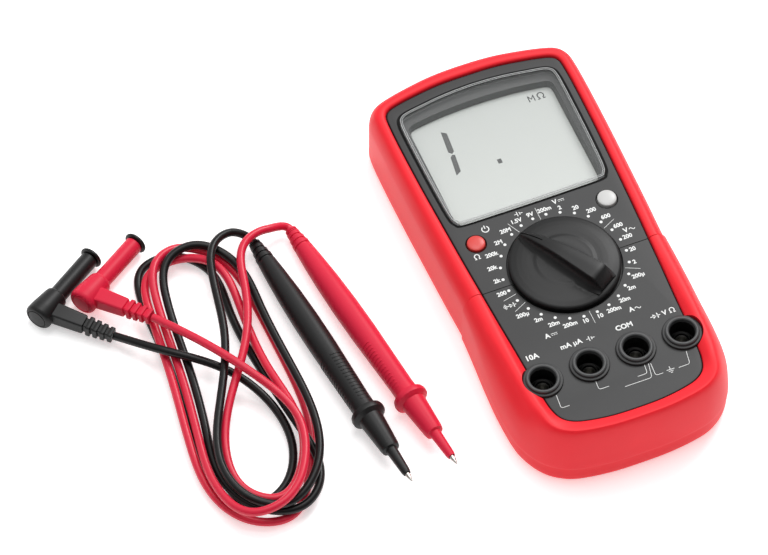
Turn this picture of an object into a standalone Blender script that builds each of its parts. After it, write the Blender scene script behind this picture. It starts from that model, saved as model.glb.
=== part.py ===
"""Handheld digital multimeter with two test leads.

The meter lies on its back: +X right, +Y towards the display end, +Z out of the front panel, with the
rear case on z = 0.  The leads lie loosely coiled on the same surface to the left of the meter.
Working dimensions are in millimetres and every mesh is written in metres.
"""
import math

import bmesh
import bpy
import numpy as np
from mathutils import Matrix
from mathutils import Vector

MM = 0.001
GAP = 0.3
WELD = 0.001

# ---- driving dimensions, in millimetres -------------------------------------------------------
PANEL_TOP = 30.0
PANEL_BACK = 28.0
FLANGE_Z = (25.9, 27.6)
SKIRT_Z = (19.0, 25.0)
SKIRT_SHARE = 0.46
CASE_TOP = 25.6
CASE_FLOOR = 3.0
BUMPER_WALL = 3.2
CASE_WALL = 2.2
SEAM_Y = -14.3

KNOB = (0.0, -13.6)
KNOB_R = 21.5
KNOB_POINTER_DEG = 122.4
DIAL_RECESS_R = 22.0
HUB_R = 8.6

JACK_X = (-28.5, -9.5, 9.5, 28.5)
JACK_Y = -59.0
COLLAR_R = 7.7
JACK_HOLE_R = 5.9
JACK_BORE_R = 4.9

POWER_BUTTON = (-27.4, 8.1, 3.55)
LOW_Z_BUTTON = (27.0, 8.5, 3.75)

PCB_Z = (16.0, 17.6)
PCB_X = 33.0
PCB_Y = (-66.0, 23.5)

STAND_HINGE = (0.0, 20.0, 1.35)
STAND_SIZE = (56.0, 64.0)

CORD_R = 1.65
PLUG_SHROUD_R = 3.55

# Half outlines, from the top middle down the right side to the bottom middle.
PANEL_HALF = [
    (0, 83.2), (12, 82.9), (23, 81.4), (30.5, 79.9), (34.2, 78.6), (36.0, 76.6), (36.6, 73.0),
    (36.8, 62), (36.5, 42), (35.8, 22), (35.0, 2), (34.2, -14), (33.5, -28), (32.7, -42),
    (32.1, -54), (31.3, -65), (30.6, -71.5), (28.8, -76.6), (25.0, -79.8), (19.0, -81.6),
    (10, -82.9), (0, -83.2),
]
UPPER_HALF = [
    (0, 91.0), (13, 90.4), (25, 88.4), (34, 86.2), (38.8, 84.2), (41.6, 81.0), (42.9, 76.2),
    (43.3, 63), (43.2, 42), (42.8, 22), (42.3, 2), (41.8, -14), (42.3, -26), (43.6, -38),
    (44.4, -52), (43.9, -66), (42.0, -73.6), (38.2, -80.6), (33.0, -85.4), (26.0, -88.6),
    (13, -90.6), (0, -91.0),
]
LOWER_HALF = [
    (0, 91.0), (13, 90.4), (25, 88.4), (34, 86.2), (38.8, 84.2), (41.6, 81.0), (42.9, 76.2),
    (43.3, 63), (43.2, 42), (42.8, 22), (42.4, 2), (42.4, -14), (43.0, -26), (43.9, -38),
    (44.5, -52), (43.9, -66), (42.0, -73.6), (38.2, -80.6), (33.0, -85.4), (26.0, -88.6),
    (13, -90.6), (0, -91.0),
]
WINDOW_HALF = [
    (0, 78.2), (12, 77.6), (22, 76.2), (27.5, 75.0), (30.2, 73.6), (31.5, 71.0), (31.8, 64),
    (31.7, 45), (31.4, 30), (31.1, 22.5), (30.2, 19.6), (28.0, 18.0), (15, 17.6), (0, 17.5),
]

# Rim section of the bumper as (share of the way from outline to panel edge, height), read from the
# panel edge over the rim and down the side.  The upper half has a small shoulder, the lower half a
# tall sloping one that ends in a step above the side wall.
UPPER_RIM = [
    (1.0, 29.6), (0.95, 30.5), (0.80, 31.0), (0.55, 30.9), (0.33, 29.9), (0.16, 28.0), (0.05, 25.6),
    (0.0, 22.8), (0.0, 16.0), (0.0, 10.0), (0.0, 9.6), (0.0, 5.0), (0.10, 2.4), (0.30, 0.9),
]
LOWER_RIM = [
    (1.0, 29.6), (0.98, 30.3), (0.80, 31.9), (0.66, 32.3), (0.50, 31.6), (0.33, 28.9), (0.18, 24.4),
    (0.07, 18.6), (0.02, 13.4), (0.0, 10.2), (0.03, 9.8), (0.03, 4.6), (0.09, 2.2), (0.20, 0.9),
]
RIM_BLEND_Y = (-14.0, -52.0)


# ---- scene helpers ----------------------------------------------------------------------------
def clear_scene():
    for obj in list(bpy.data.objects):
        bpy.data.objects.remove(obj, do_unlink=True)


def make_collection(name):
    coll = bpy.data.collections.new(name)
    bpy.context.scene.collection.children.link(coll)
    return coll


def principled(name, colour, roughness, metallic=0.0, transmission=0.0):
    mat = bpy.data.materials.new(name)
    mat.use_nodes = True
    shader = mat.node_tree.nodes["Principled BSDF"]
    shader.inputs["Base Color"].default_value = (*colour, 1.0)
    shader.inputs["Roughness"].default_value = roughness
    shader.inputs["Metallic"].default_value = metallic
    shader.inputs["Transmission Weight"].default_value = transmission
    mat.diffuse_color = (*colour, 1.0)
    mat.metallic = metallic
    mat.roughness = roughness
    return mat


def write_mesh(name, bm, mat, coll, origin=(0, 0, 0), sharp_deg=None):
    """Finish a millimetre bmesh: outward normals, metres, origin at the given point."""
    bmesh.ops.recalc_face_normals(bm, faces=bm.faces)
    shift = Matrix.Scale(MM, 4) @ Matrix.Translation(-Vector(origin))
    bmesh.ops.transform(bm, matrix=shift, verts=bm.verts)
    mesh = bpy.data.meshes.new(name)
    bm.to_mesh(mesh)
    bm.free()
    if mat is not None:
        mesh.materials.append(mat)
    if sharp_deg is not None:
        for poly in mesh.polygons:
            poly.use_smooth = True
        mesh.set_sharp_from_angle(angle=math.radians(sharp_deg))
    obj = bpy.data.objects.new(name, mesh)
    obj.location = Vector(origin) * MM
    coll.objects.link(obj)
    return obj


def boolean(target, cutter, operation="DIFFERENCE"):
    mod = target.modifiers.new(cutter.name, "BOOLEAN")
    mod.operation = operation
    mod.solver = "EXACT"
    mod.object = cutter


def hide_cutter(obj):
    obj.hide_render = True
    obj.display_type = "WIRE"
    return obj


# ---- outline helpers --------------------------------------------------------------------------
def catmull(points, steps):
    """Smooth curve through the points, with the ends mirrored across the middle line."""
    pts = [np.array(p, float) for p in points]
    first = pts[1] * np.array([-1.0, 1.0])
    last = pts[-2] * np.array([-1.0, 1.0])
    pts = [first, *pts, last]
    out = []
    for a, b, c, d in zip(pts, pts[1:], pts[2:], pts[3:]):
        for k in range(steps):
            t = k / steps
            out.append(0.5 * (2 * b + (c - a) * t + (2 * a - 5 * b + 4 * c - d) * t ** 2
                              + (3 * b - 3 * c + d - a) * t ** 3))
    out.append(pts[-2])
    return out


def outline(half, steps=2):
    """Closed symmetric outline, clockwise from the top middle."""
    right = catmull(half, steps)
    left = [p * np.array([-1.0, 1.0]) for p in right[-2:0:-1]]
    return np.array(right + left)


def inset(contour, depth):
    """Move a clockwise closed outline inwards."""
    tangent = np.roll(contour, -1, 0) - np.roll(contour, 1, 0)
    tangent /= np.linalg.norm(tangent, axis=1)[:, None]
    return contour + depth * np.stack([tangent[:, 1], -tangent[:, 0]], 1)


def skirt(outer, edge, depth):
    """Outline under the bumper lip, moved part of the way from the body outline to the panel edge."""
    return inset(outer + SKIRT_SHARE * (edge - outer), depth)


def at_height(contour, z):
    return [(x, y, z) for x, y in contour]


# ---- solid helpers, all in millimetres --------------------------------------------------------
def loft(bm, rings, closed=False):
    """Skin equal rings of points; closed joins the last ring to the first, else both ends are capped."""
    rows = [[bm.verts.new(p) for p in ring] for ring in rings]
    count = len(rows[0])
    pairs = list(zip(rows, rows[1:]))
    if closed:
        pairs.append((rows[-1], rows[0]))
    for low, high in pairs:
        for i in range(count):
            j = (i + 1) % count
            bm.faces.new((low[i], low[j], high[j], high[i]))
    if not closed:
        bm.faces.new(rows[0])
        bm.faces.new(list(reversed(rows[-1])))


def box(bm, x, y, z):
    middle = Matrix.Translation(((x[0] + x[1]) / 2, (y[0] + y[1]) / 2, (z[0] + z[1]) / 2))
    size = Matrix.Diagonal((x[1] - x[0], y[1] - y[0], z[1] - z[0], 1.0))
    bmesh.ops.create_cube(bm, size=1.0, matrix=middle @ size)


def prism(bm, ring, z):
    loft(bm, [at_height(ring, z[0]), at_height(ring, z[1])])


def revolve(bm, profile, steps, matrix=None, closed=False):
    """Spin an (r, z) profile a full turn round the axis of the given frame."""
    matrix = matrix or Matrix.Identity(4)
    earlier = set(bm.verts)
    line = [bm.verts.new(matrix @ Vector((r, 0, z))) for r, z in profile]
    pairs = list(zip(line, line[1:]))
    if closed:
        pairs.append((line[-1], line[0]))
    edges = [bm.edges.new(pair) for pair in pairs]
    bmesh.ops.spin(bm, geom=line + edges, cent=matrix.translation, axis=matrix.col[2].to_3d(),
                   angle=2 * math.pi, steps=steps, use_merge=True)
    spun = [v for v in bm.verts if v not in earlier]
    bmesh.ops.remove_doubles(bm, verts=spun, dist=WELD)


def tube_profile(r_in, r_out, z_low, z_high):
    return [(r_out, z_low), (r_out, z_high), (r_in, z_high), (r_in, z_low)]


def rod_profile(r, z_low, z_high):
    return [(0, z_low), (r, z_low), (r, z_high), (0, z_high)]


def shifted(x, y, z=0.0):
    return Matrix.Translation((x, y, z))


def along(start, end):
    """Frame with its origin at start and +Z pointing at end."""
    start = Vector(start)
    direction = (Vector(end) - start).normalized()
    return Matrix.Translation(start) @ direction.to_track_quat("Z", "Y").to_matrix().to_4x4()


def cut_at_y(bm, y, keep_above):
    """Cut the solid at a plane across Y and close the cut faces."""
    geometry = bm.verts[:] + bm.edges[:] + bm.faces[:]
    bmesh.ops.bisect_plane(bm, geom=geometry, plane_co=(0, y, 0), plane_no=(0, 1, 0),
                           clear_inner=keep_above, clear_outer=not keep_above)
    rim = [e for e in bm.edges if e.is_boundary]
    bmesh.ops.holes_fill(bm, edges=rim)


# ---- case -------------------------------------------------------------------------------------
def bumper_mesh(half, keep_above):
    """One soft bumper half: rim lip, shoulder, side wall, foot, inner wall and underside of the lip."""
    outer = outline(half)
    edge = inset(outline(PANEL_HALF), -0.35)
    weight = np.clip((RIM_BLEND_Y[0] - outer[:, 1]) / (RIM_BLEND_Y[0] - RIM_BLEND_Y[1]), 0, 1)
    weight = weight * weight * (3 - 2 * weight)
    rings = []
    for (s_up, z_up), (s_low, z_low) in zip(UPPER_RIM, LOWER_RIM):
        share = (s_up + (s_low - s_up) * weight)[:, None]
        height = z_up + (z_low - z_up) * weight
        rings.append(np.column_stack([outer + (edge - outer) * share, height]))
    inner = inset(outer, BUMPER_WALL)
    rings.append(at_height(inner, 0.8))
    rings.append(at_height(inner, SKIRT_Z[0]))
    rings.append(at_height(skirt(outer, edge, 0.0), SKIRT_Z[1]))
    rings.append(at_height(skirt(outer, edge, 0.0), FLANGE_Z[1] + GAP))
    rings.append(at_height(edge, FLANGE_Z[1] + GAP))
    bm = bmesh.new()
    loft(bm, rings, closed=True)
    cut_at_y(bm, SEAM_Y + (GAP / 2 if keep_above else -GAP / 2), keep_above)
    return bm


def make_bumpers(parts, cutters, mats):
    write_mesh("bumper_upper", bumper_mesh(UPPER_HALF, True), mats["bumper_upper"], parts,
               sharp_deg=38)
    lower = write_mesh("bumper_lower", bumper_mesh(LOWER_HALF, False), mats["bumper_lower"], parts,
                       sharp_deg=38)
    bm = bmesh.new()
    for x in (JACK_X[0], JACK_X[3]):
        revolve(bm, rod_profile(COLLAR_R + GAP, 27.0, 40.0), 24, shifted(x, JACK_Y))
    boolean(lower, hide_cutter(write_mesh("cut_collar_clearance", bm, None, cutters)))


def panel_mesh(keep_above):
    """Front plate with a wider flange under the bumper lip and a shallow cavity behind."""
    plate = outline(PANEL_HALF)
    flange = skirt(outline(UPPER_HALF), plate, GAP)
    bm = bmesh.new()
    loft(bm, [
        at_height(flange, FLANGE_Z[0]), at_height(flange, FLANGE_Z[1]), at_height(plate, FLANGE_Z[1]),
        at_height(plate, PANEL_TOP - 0.35), at_height(inset(plate, 0.35), PANEL_TOP),
    ])
    cut_at_y(bm, SEAM_Y + (GAP / 2 if keep_above else -GAP / 2), keep_above)
    return bm


def panel_cutters(cutters):
    """Openings shared by the two panel halves."""
    made = []
    bm = bmesh.new()
    prism(bm, inset(outline(PANEL_HALF), 2.0), (22.0, PANEL_BACK))
    made.append(write_mesh("cut_panel_cavity", bm, None, cutters))
    bm = bmesh.new()
    revolve(bm, [(0, 28.9), (DIAL_RECESS_R, 28.9), (DIAL_RECESS_R, 36), (0, 36)], 44, shifted(*KNOB))
    made.append(write_mesh("cut_dial_recess", bm, None, cutters))
    bm = bmesh.new()
    revolve(bm, rod_profile(HUB_R + 0.4, 26, 34), 24, shifted(*KNOB))
    made.append(write_mesh("cut_hub_hole", bm, None, cutters))
    return [hide_cutter(obj) for obj in made]


def make_panels(parts, cutters, mats):
    upper = write_mesh("panel_upper", panel_mesh(True), mats["panel_upper"], parts, sharp_deg=30)
    lower = write_mesh("panel_lower", panel_mesh(False), mats["panel_lower"], parts, sharp_deg=30)
    for cutter in panel_cutters(cutters):
        boolean(upper, cutter)
        boolean(lower, cutter)

    bm = bmesh.new()
    prism(bm, inset(outline(WINDOW_HALF), -GAP), (20.0, 40.0))
    boolean(upper, hide_cutter(write_mesh("cut_window", bm, None, cutters)))
    bm = bmesh.new()
    for x, y, r in (POWER_BUTTON, LOW_Z_BUTTON):
        revolve(bm, rod_profile(r + 0.4, 20.0, 40.0), 20, shifted(x, y))
    boolean(upper, hide_cutter(write_mesh("cut_buttons", bm, None, cutters)))

    bm = bmesh.new()
    for x in JACK_X:
        collar = [(0, 26.4), (COLLAR_R, 26.4), (COLLAR_R, 30.6), (COLLAR_R - 0.4, 31.0), (0, 31.0)]
        revolve(bm, collar, 24, shifted(x, JACK_Y))
    boolean(lower, hide_cutter(write_mesh("add_collars", bm, None, cutters)), "UNION")
    bm = bmesh.new()
    for x in JACK_X:
        revolve(bm, rod_profile(JACK_HOLE_R, 20.0, 40.0), 20, shifted(x, JACK_Y))
    boolean(lower, hide_cutter(write_mesh("cut_jacks", bm, None, cutters)))


def make_rear_case(parts, cutters, mats):
    """Tub with screw bosses, board posts and recesses for the stand and the battery door."""
    outer = outline(UPPER_HALF, 1)
    edge = outline(PANEL_HALF, 1)
    wall = BUMPER_WALL + GAP
    bm = bmesh.new()
    loft(bm, [
        at_height(inset(outer, wall + 1.6), 0.0), at_height(inset(outer, wall), 1.6),
        at_height(inset(outer, wall), SKIRT_Z[0] - GAP), at_height(skirt(outer, edge, GAP), SKIRT_Z[1]),
        at_height(skirt(outer, edge, GAP), CASE_TOP),
        at_height(skirt(outer, edge, GAP + CASE_WALL), CASE_TOP),
        at_height(skirt(outer, edge, GAP + CASE_WALL), SKIRT_Z[1] - 0.5),
        at_height(inset(outer, wall + CASE_WALL), SKIRT_Z[0] - 1.0),
        at_height(inset(outer, wall + CASE_WALL), CASE_FLOOR),
    ])
    case = write_mesh("rear_case", bm, mats["rear_case"], parts, sharp_deg=30)

    bm = bmesh.new()
    for x, y in CASE_SCREWS:
        revolve(bm, rod_profile(3.4, CASE_FLOOR - 0.5, 13.0), 12, shifted(x, y))
    for x, y in PCB_POSTS:
        revolve(bm, rod_profile(2.6, CASE_FLOOR - 0.5, PCB_Z[0] - GAP), 10, shifted(x, y))
    revolve(bm, rod_profile(3.1, CASE_FLOOR - 0.5, 9.0), 12, shifted(*DOOR_SCREW))
    boolean(case, hide_cutter(write_mesh("add_bosses", bm, None, cutters)), "UNION")

    bm = bmesh.new()
    for x, y in CASE_SCREWS:
        revolve(bm, [(0, -2), (3.3, -2), (3.3, 2.0), (1.75, 2.0), (1.75, 14.0), (0, 14.0)], 12,
                shifted(x, y))
    for x, y in PCB_SCREWS:
        revolve(bm, rod_profile(1.4, 6.0, 20.0), 10, shifted(x, y))
    revolve(bm, rod_profile(1.6, -2.0, 12.0), 10, shifted(*DOOR_SCREW))
    boolean(case, hide_cutter(write_mesh("cut_screw_holes", bm, None, cutters)))

    bm = bmesh.new()
    prism(bm, door_outline(GAP, main=True), (-2.0, CASE_FLOOR + 1.0))
    boolean(case, hide_cutter(write_mesh("cut_battery_bay", bm, None, cutters)))
    bm = bmesh.new()
    prism(bm, door_outline(GAP, main=False), (-2.0, 2.0))
    boolean(case, hide_cutter(write_mesh("cut_door_tongue", bm, None, cutters)))

    bm = bmesh.new()
    half = STAND_SIZE[0] / 2 + GAP
    y0 = STAND_HINGE[1] - STAND_SIZE[1] - GAP
    box(bm, (-half, half), (y0, STAND_HINGE[1] + 1.6), (-2.0, 2.1))
    boolean(case, hide_cutter(write_mesh("cut_stand_recess", bm, None, cutters)))
    bm = bmesh.new()
    box(bm, (-half - 2.2, half + 2.2), (STAND_HINGE[1] - 1.5, STAND_HINGE[1] + 1.5), (-2.0, 2.75))
    boolean(case, hide_cutter(write_mesh("cut_hinge_trough", bm, None, cutters)))
    bm = bmesh.new()
    box(bm, (-9.0, 9.0), (y0 - 6.0, y0 + 2.0), (-2.0, 2.1))
    boolean(case, hide_cutter(write_mesh("cut_finger_notch", bm, None, cutters)))


CASE_SCREWS = [(-30.0, 72.0), (30.0, 72.0), (-30.0, -73.0), (30.0, -73.0)]
PCB_SCREWS = [(-29.0, 20.0), (19.0, -62.5)]
PCB_POSTS = [*PCB_SCREWS, (29.0, 20.0), (-19.0, -62.5)]
DOOR_SCREW = (0.0, 27.6)


def door_outline(grow, main):
    """Battery door: a main plate over the bay and a narrow tongue that takes the screw."""
    if main:
        return [(-16.5 - grow, 31.3 - grow), (16.5 + grow, 31.3 - grow),
                (16.5 + grow, 83.0 + grow), (-16.5 - grow, 83.0 + grow)]
    return [(-5.0 - grow, 24.0 - grow), (5.0 + grow, 24.0 - grow), (5.0 + grow, 33.0),
            (-5.0 - grow, 33.0)]


def make_door(parts, cutters, mats):
    ring = [(-16.5, 31.3), (-5.0, 31.3), (-5.0, 24.0), (5.0, 24.0), (5.0, 31.3), (16.5, 31.3),
            (16.5, 83.0), (-16.5, 83.0)]
    bm = bmesh.new()
    prism(bm, ring, (0.1, 1.7))
    door = write_mesh("battery_door", bm, mats["battery_door"], parts)
    bm = bmesh.new()
    profile = [(0, -2), (2.7, -2), (2.7, 1.0), (1.6, 1.0), (1.6, 4.0), (0, 4.0)]
    revolve(bm, profile, 14, shifted(*DOOR_SCREW))
    boolean(door, hide_cutter(write_mesh("cut_door_hole", bm, None, cutters)))


def screw_solid(bm, x, y, head_r, shank_r, z_head, z_seat, z_tip, steps=10):
    """Screw driven upwards from the back: head between z_head and z_seat, shank up to z_tip."""
    profile = [(0, z_head), (head_r - 0.3, z_head), (head_r, z_head + 0.3), (head_r, z_seat),
               (shank_r, z_seat), (shank_r, z_tip - 0.8), (0, z_tip)]
    revolve(bm, profile, steps, shifted(x, y))


def make_screws(parts, mats):
    for index, (x, y) in enumerate(CASE_SCREWS, 1):
        bm = bmesh.new()
        screw_solid(bm, x, y, 2.8, 1.35, 0.3, 1.7, 12.6)
        write_mesh(f"case_screw_{index}", bm, mats[f"case_screw_{index}"], parts, sharp_deg=35)
    for index, (x, y) in enumerate(PCB_SCREWS, 1):
        bm = bmesh.new()
        profile = [(0, 19.2), (1.9, 19.2), (2.2, 18.9), (2.2, 17.9), (1.0, 17.9), (1.0, 7.0), (0, 6.4)]
        revolve(bm, profile, 10, shifted(x, y))
        write_mesh(f"pcb_screw_{index}", bm, mats[f"pcb_screw_{index}"], parts, sharp_deg=35)
    bm = bmesh.new()
    screw_solid(bm, *DOOR_SCREW, 2.4, 1.25, 0.1, 0.75, 8.2)
    write_mesh("door_screw", bm, mats["door_screw"], parts, sharp_deg=35)


def make_stand(parts, cutters, mats):
    """Folding stand: flap with a hinge barrel and a hand hole, lying flush in the back."""
    hx, hy, hz = STAND_HINGE
    half = STAND_SIZE[0] / 2
    low = hy - STAND_SIZE[1]
    ring = [(-half, hy), (half, hy), (half, low + 7), (half - 2, low + 2), (half - 7, low),
            (7 - half, low), (2 - half, low + 2), (-half, low + 7)]
    bm = bmesh.new()
    prism(bm, ring, (0.25, 1.75))
    stand = write_mesh("tilt_stand", bm, mats["tilt_stand"], parts, origin=STAND_HINGE, sharp_deg=30)
    bm = bmesh.new()
    turned = Matrix.Translation((0, hy, hz)) @ Matrix.Rotation(math.radians(90), 4, "Y")
    revolve(bm, rod_profile(1.1, -half - 2.0, half + 2.0), 12, turned)
    boolean(stand, hide_cutter(write_mesh("add_stand_barrel", bm, None, cutters)), "UNION")
    bm = bmesh.new()
    inner = [(-17, low + 16), (-13, low + 12), (13, low + 12), (17, low + 16), (17, hy - 14),
             (13, hy - 10), (-13, hy - 10), (-17, hy - 14)]
    prism(bm, inner, (-1, 4))
    boolean(stand, hide_cutter(write_mesh("cut_stand_hole", bm, None, cutters)))


# ---- display ----------------------------------------------------------------------------------
def make_display(parts, cutters, mats):
    lens = outline(WINDOW_HALF)
    bm = bmesh.new()
    loft(bm, [
        at_height(lens, 28.4), at_height(lens, 30.5), at_height(inset(lens, 0.5), 31.0),
        at_height(inset(lens, 1.1), 31.0), at_height(inset(lens, 1.5), 30.6),
    ])
    write_mesh("display_window", bm, mats["display_window"], parts, sharp_deg=30)

    bm = bmesh.new()
    prism(bm, lens, (21.6, 26.6))
    frame = write_mesh("lcd_frame", bm, mats["lcd_frame"], parts, sharp_deg=30)
    bm = bmesh.new()
    box(bm, (-29.6, 29.6), (19.6, 71.4), (24.0, 28.0))
    boolean(frame, hide_cutter(write_mesh("cut_lcd_view", bm, None, cutters)))
    bm = bmesh.new()
    box(bm, (-30.7, 30.7), (18.7, 72.8), (20.0, 25.5))
    boolean(frame, hide_cutter(write_mesh("cut_lcd_pocket", bm, None, cutters)))

    bm = bmesh.new()
    box(bm, (-30.4, 30.4), (19.0, 72.5), (23.2, 25.2))
    write_mesh("lcd_glass", bm, mats["lcd_glass"], parts)
    bm = bmesh.new()
    box(bm, (-26.0, 26.0), (19.4, 21.4), (17.9, 22.9))
    write_mesh("zebra_strip", bm, mats["zebra_strip"], parts)


# ---- rotary switch ----------------------------------------------------------------------------
def grip_rings(turn):
    """Bar grip of the knob as sections from the pointed front end to the square rear end."""
    stations = [
        (20.7, 1.0, 0.5, 33.7), (18.0, 2.5, 1.0, 35.4), (12.7, 4.4, 1.7, 37.4), (4.2, 6.1, 2.5, 38.7),
        (-5.0, 6.9, 3.3, 39.0), (-12.5, 7.1, 3.9, 39.0), (-15.6, 6.9, 3.9, 38.7), (-19.5, 5.6, 3.4, 34.3),
    ]
    rings = []
    for y, base, top, z in stations:
        section = [(-base, 32.4), (-top, z - 0.7), (0.6 - top, z), (top - 0.6, z), (top, z - 0.7),
                   (base, 32.4)]
        if top <= 0.6:
            section[2] = (-0.2, z)
            section[3] = (0.2, z)
        ring = [turn @ Vector((x, y, h)) for x, h in section]
        rings.append([(p.x + KNOB[0], p.y + KNOB[1], p.z) for p in ring])
    return rings


def make_knob(parts, cutters, mats):
    at_knob = shifted(*KNOB)
    origin = (*KNOB, PANEL_TOP)
    profile = [
        (0, 33.7), (10.8, 33.7), (12.4, 33.3), (19.9, 33.3), (20.5, 33.0), (21.2, 31.8),
        (KNOB_R, 31.0), (KNOB_R, 29.2), (HUB_R, 29.2), (HUB_R, 20.7), (3.4, 20.7), (3.4, 24.6), (0, 24.6),
    ]
    bm = bmesh.new()
    revolve(bm, profile, 44, at_knob)
    knob = write_mesh("selector_knob", bm, mats["selector_knob"], parts, origin=origin, sharp_deg=32)
    bm = bmesh.new()
    loft(bm, grip_rings(Matrix.Rotation(math.radians(KNOB_POINTER_DEG - 90), 3, "Z")))
    boolean(knob, hide_cutter(write_mesh("add_grip", bm, None, cutters)), "UNION")

    bm = bmesh.new()
    revolve(bm, [(0, 24.2), (3.0, 24.2), (3.0, 20.4), (17.5, 20.4), (17.5, 18.6), (0, 18.6)], 28, at_knob)
    write_mesh("switch_rotor", bm, mats["switch_rotor"], parts, origin=origin, sharp_deg=32)

    bm = bmesh.new()
    revolve(bm, tube_profile(8.0, 12.0, 17.9, 18.3), 20, at_knob, closed=True)
    write_mesh("rotor_contact", bm, mats["rotor_contact"], parts, origin=origin)

    for index in (1, 2):
        a = math.radians(KNOB_POINTER_DEG + 180 * index)
        spot = shifted(KNOB[0] + 18.85 * math.cos(a), KNOB[1] + 18.85 * math.sin(a), 19.4)
        bm = bmesh.new()
        revolve(bm, [(0, -1.0), (0.75, -0.66), (1.0, 0), (0.75, 0.66), (0, 1.0)], 8, spot)
        name = f"detent_ball_{index}"
        write_mesh(name, bm, mats[name], parts, origin=origin, sharp_deg=60)

    ring_in = []
    ring_out = []
    for k in range(56):
        a = math.radians(KNOB_POINTER_DEG + k * 360 / 56)
        r = 20.6 if k % 2 == 0 else 20.2
        ring_in.append((KNOB[0] + r * math.cos(a), KNOB[1] + r * math.sin(a)))
        ring_out.append((KNOB[0] + 22.0 * math.cos(a), KNOB[1] + 22.0 * math.sin(a)))
    bm = bmesh.new()
    loft(bm, [at_height(ring_in, 17.9), at_height(ring_in, 20.3), at_height(ring_out, 20.3),
              at_height(ring_out, 17.9)], closed=True)
    write_mesh("detent_ring", bm, mats["detent_ring"], parts)


# ---- buttons, jacks and electronics -----------------------------------------------------------
def make_buttons(parts, mats):
    x, y, r = POWER_BUTTON
    bm = bmesh.new()
    profile = [(0, 31.2), (r - 1.2, 31.15), (r - 0.3, 30.95), (r, 30.6), (r, 27.0), (r + 0.9, 27.0),
               (r + 0.9, 25.8), (1.6, 25.8), (1.6, 24.0), (0, 24.0)]
    revolve(bm, profile, 20, shifted(x, y))
    write_mesh("power_button", bm, mats["power_button"], parts, origin=(x, y, PANEL_TOP), sharp_deg=40)
    bm = bmesh.new()
    box(bm, (x - 4, x + 4), (y - 4, y + 4), (17.9, 22.0))
    write_mesh("power_switch", bm, mats["power_switch"], parts)

    x, y, r = LOW_Z_BUTTON
    bm = bmesh.new()
    profile = [(0, 31.5), (r - 1.2, 31.4), (r - 0.35, 31.1), (r, 30.7), (r, 27.0), (r + 0.9, 27.0),
               (r + 0.9, 25.8), (1.6, 25.8), (1.6, 24.0), (0, 24.0)]
    revolve(bm, profile, 20, shifted(x, y))
    write_mesh("low_z_button", bm, mats["low_z_button"], parts, origin=(x, y, PANEL_TOP), sharp_deg=40)
    bm = bmesh.new()
    box(bm, (x - 3, x + 3), (y - 3, y + 3), (17.9, 22.2))
    write_mesh("low_z_switch", bm, mats["low_z_switch"], parts)


def make_jacks(parts, mats):
    sleeve = [
        (JACK_HOLE_R - GAP, 18.0), (JACK_HOLE_R - GAP, 31.3), (6.3, 31.3), (6.3, 31.7), (5.9, 32.1),
        (5.5, 32.1), (JACK_BORE_R, 31.4), (JACK_BORE_R, 19.2), (3.0, 19.2), (3.0, 18.0),
    ]
    contact = [(0, 17.9), (2.7, 17.9), (2.7, 22.6), (2.4, 23.0), (2.1, 23.0), (2.1, 18.8), (0, 18.8)]
    for index, x in enumerate(JACK_X):
        bm = bmesh.new()
        revolve(bm, sleeve, 18, shifted(x, JACK_Y), closed=True)
        write_mesh(f"jack_sleeve_{index + 1}", bm, mats[f"jack_sleeve_{index + 1}"], parts, sharp_deg=35)
        bm = bmesh.new()
        revolve(bm, contact, 12, shifted(x, JACK_Y))
        write_mesh(f"jack_contact_{index + 1}", bm, mats[f"jack_contact_{index + 1}"], parts,
                   sharp_deg=35)


def make_board(parts, cutters, mats):
    bm = bmesh.new()
    x, (y0, y1) = PCB_X, PCB_Y
    ring = [(-x, y0 + 8), (8 - x, y0), (x - 8, y0), (x, y0 + 8), (x, y1), (-x, y1)]
    prism(bm, ring, PCB_Z)
    board = write_mesh("main_pcb", bm, mats["main_pcb"], parts)
    bm = bmesh.new()
    for px, py in PCB_SCREWS:
        revolve(bm, rod_profile(1.5, 10, 20), 10, shifted(px, py))
    boolean(board, hide_cutter(write_mesh("cut_board_holes", bm, None, cutters)))

    bm = bmesh.new()
    box(bm, (22.4, 32.0), (-18.0, -8.4), (17.9, 20.0))
    write_mesh("adc_chip", bm, mats["adc_chip"], parts)
    bm = bmesh.new()
    revolve(bm, rod_profile(5.0, 17.9, 22.4), 18, shifted(27.0, -28.0))
    write_mesh("buzzer", bm, mats["buzzer"], parts, sharp_deg=35)


def make_fuses(parts, mats):
    """Two fuses lying across the board in their clips, and the ten-amp shunt wire."""
    sideways = Matrix.Rotation(math.radians(90), 4, "Y")
    for name, x0, x1, r in (("fuse_10a", -31.5, 0.5, 3.15), ("fuse_ma", 6.0, 26.0, 2.6)):
        bm = bmesh.new()
        z = 17.9 + 1.4 + r
        place = Matrix.Translation((0, -42.4, z)) @ sideways
        cap = r
        body = r - 0.3
        profile = [(0, x0), (cap, x0), (cap, x0 + 5.5), (body, x0 + 5.5), (body, x1 - 5.5),
                   (cap, x1 - 5.5), (cap, x1), (0, x1)]
        revolve(bm, profile, 14, place)
        write_mesh(name, bm, mats[name], parts, sharp_deg=35)
    index = 0
    for x0, x1, r in ((-31.5, 0.5, 3.15), (6.0, 26.0, 2.6)):
        z = 17.9 + 1.4 + r
        for x in (x0 + 0.6, x1 - 4.8):
            index += 1
            bm = bmesh.new()
            clip_solid(bm, x, x + 4.2, -42.4, z, r)
            write_mesh(f"fuse_clip_{index}", bm, mats[f"fuse_clip_{index}"], parts)

    route = [(-29.5, -33.0, 17.9), (-29.5, -33.0, 23.5), (-28.5, -32.4, 25.0), (-23.5, -29.0, 25.0),
             (-22.5, -28.4, 23.5), (-22.5, -28.4, 17.9)]
    make_tube("shunt_wire", route, 0.8, mats["shunt_wire"], parts, resolution=2)


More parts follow.
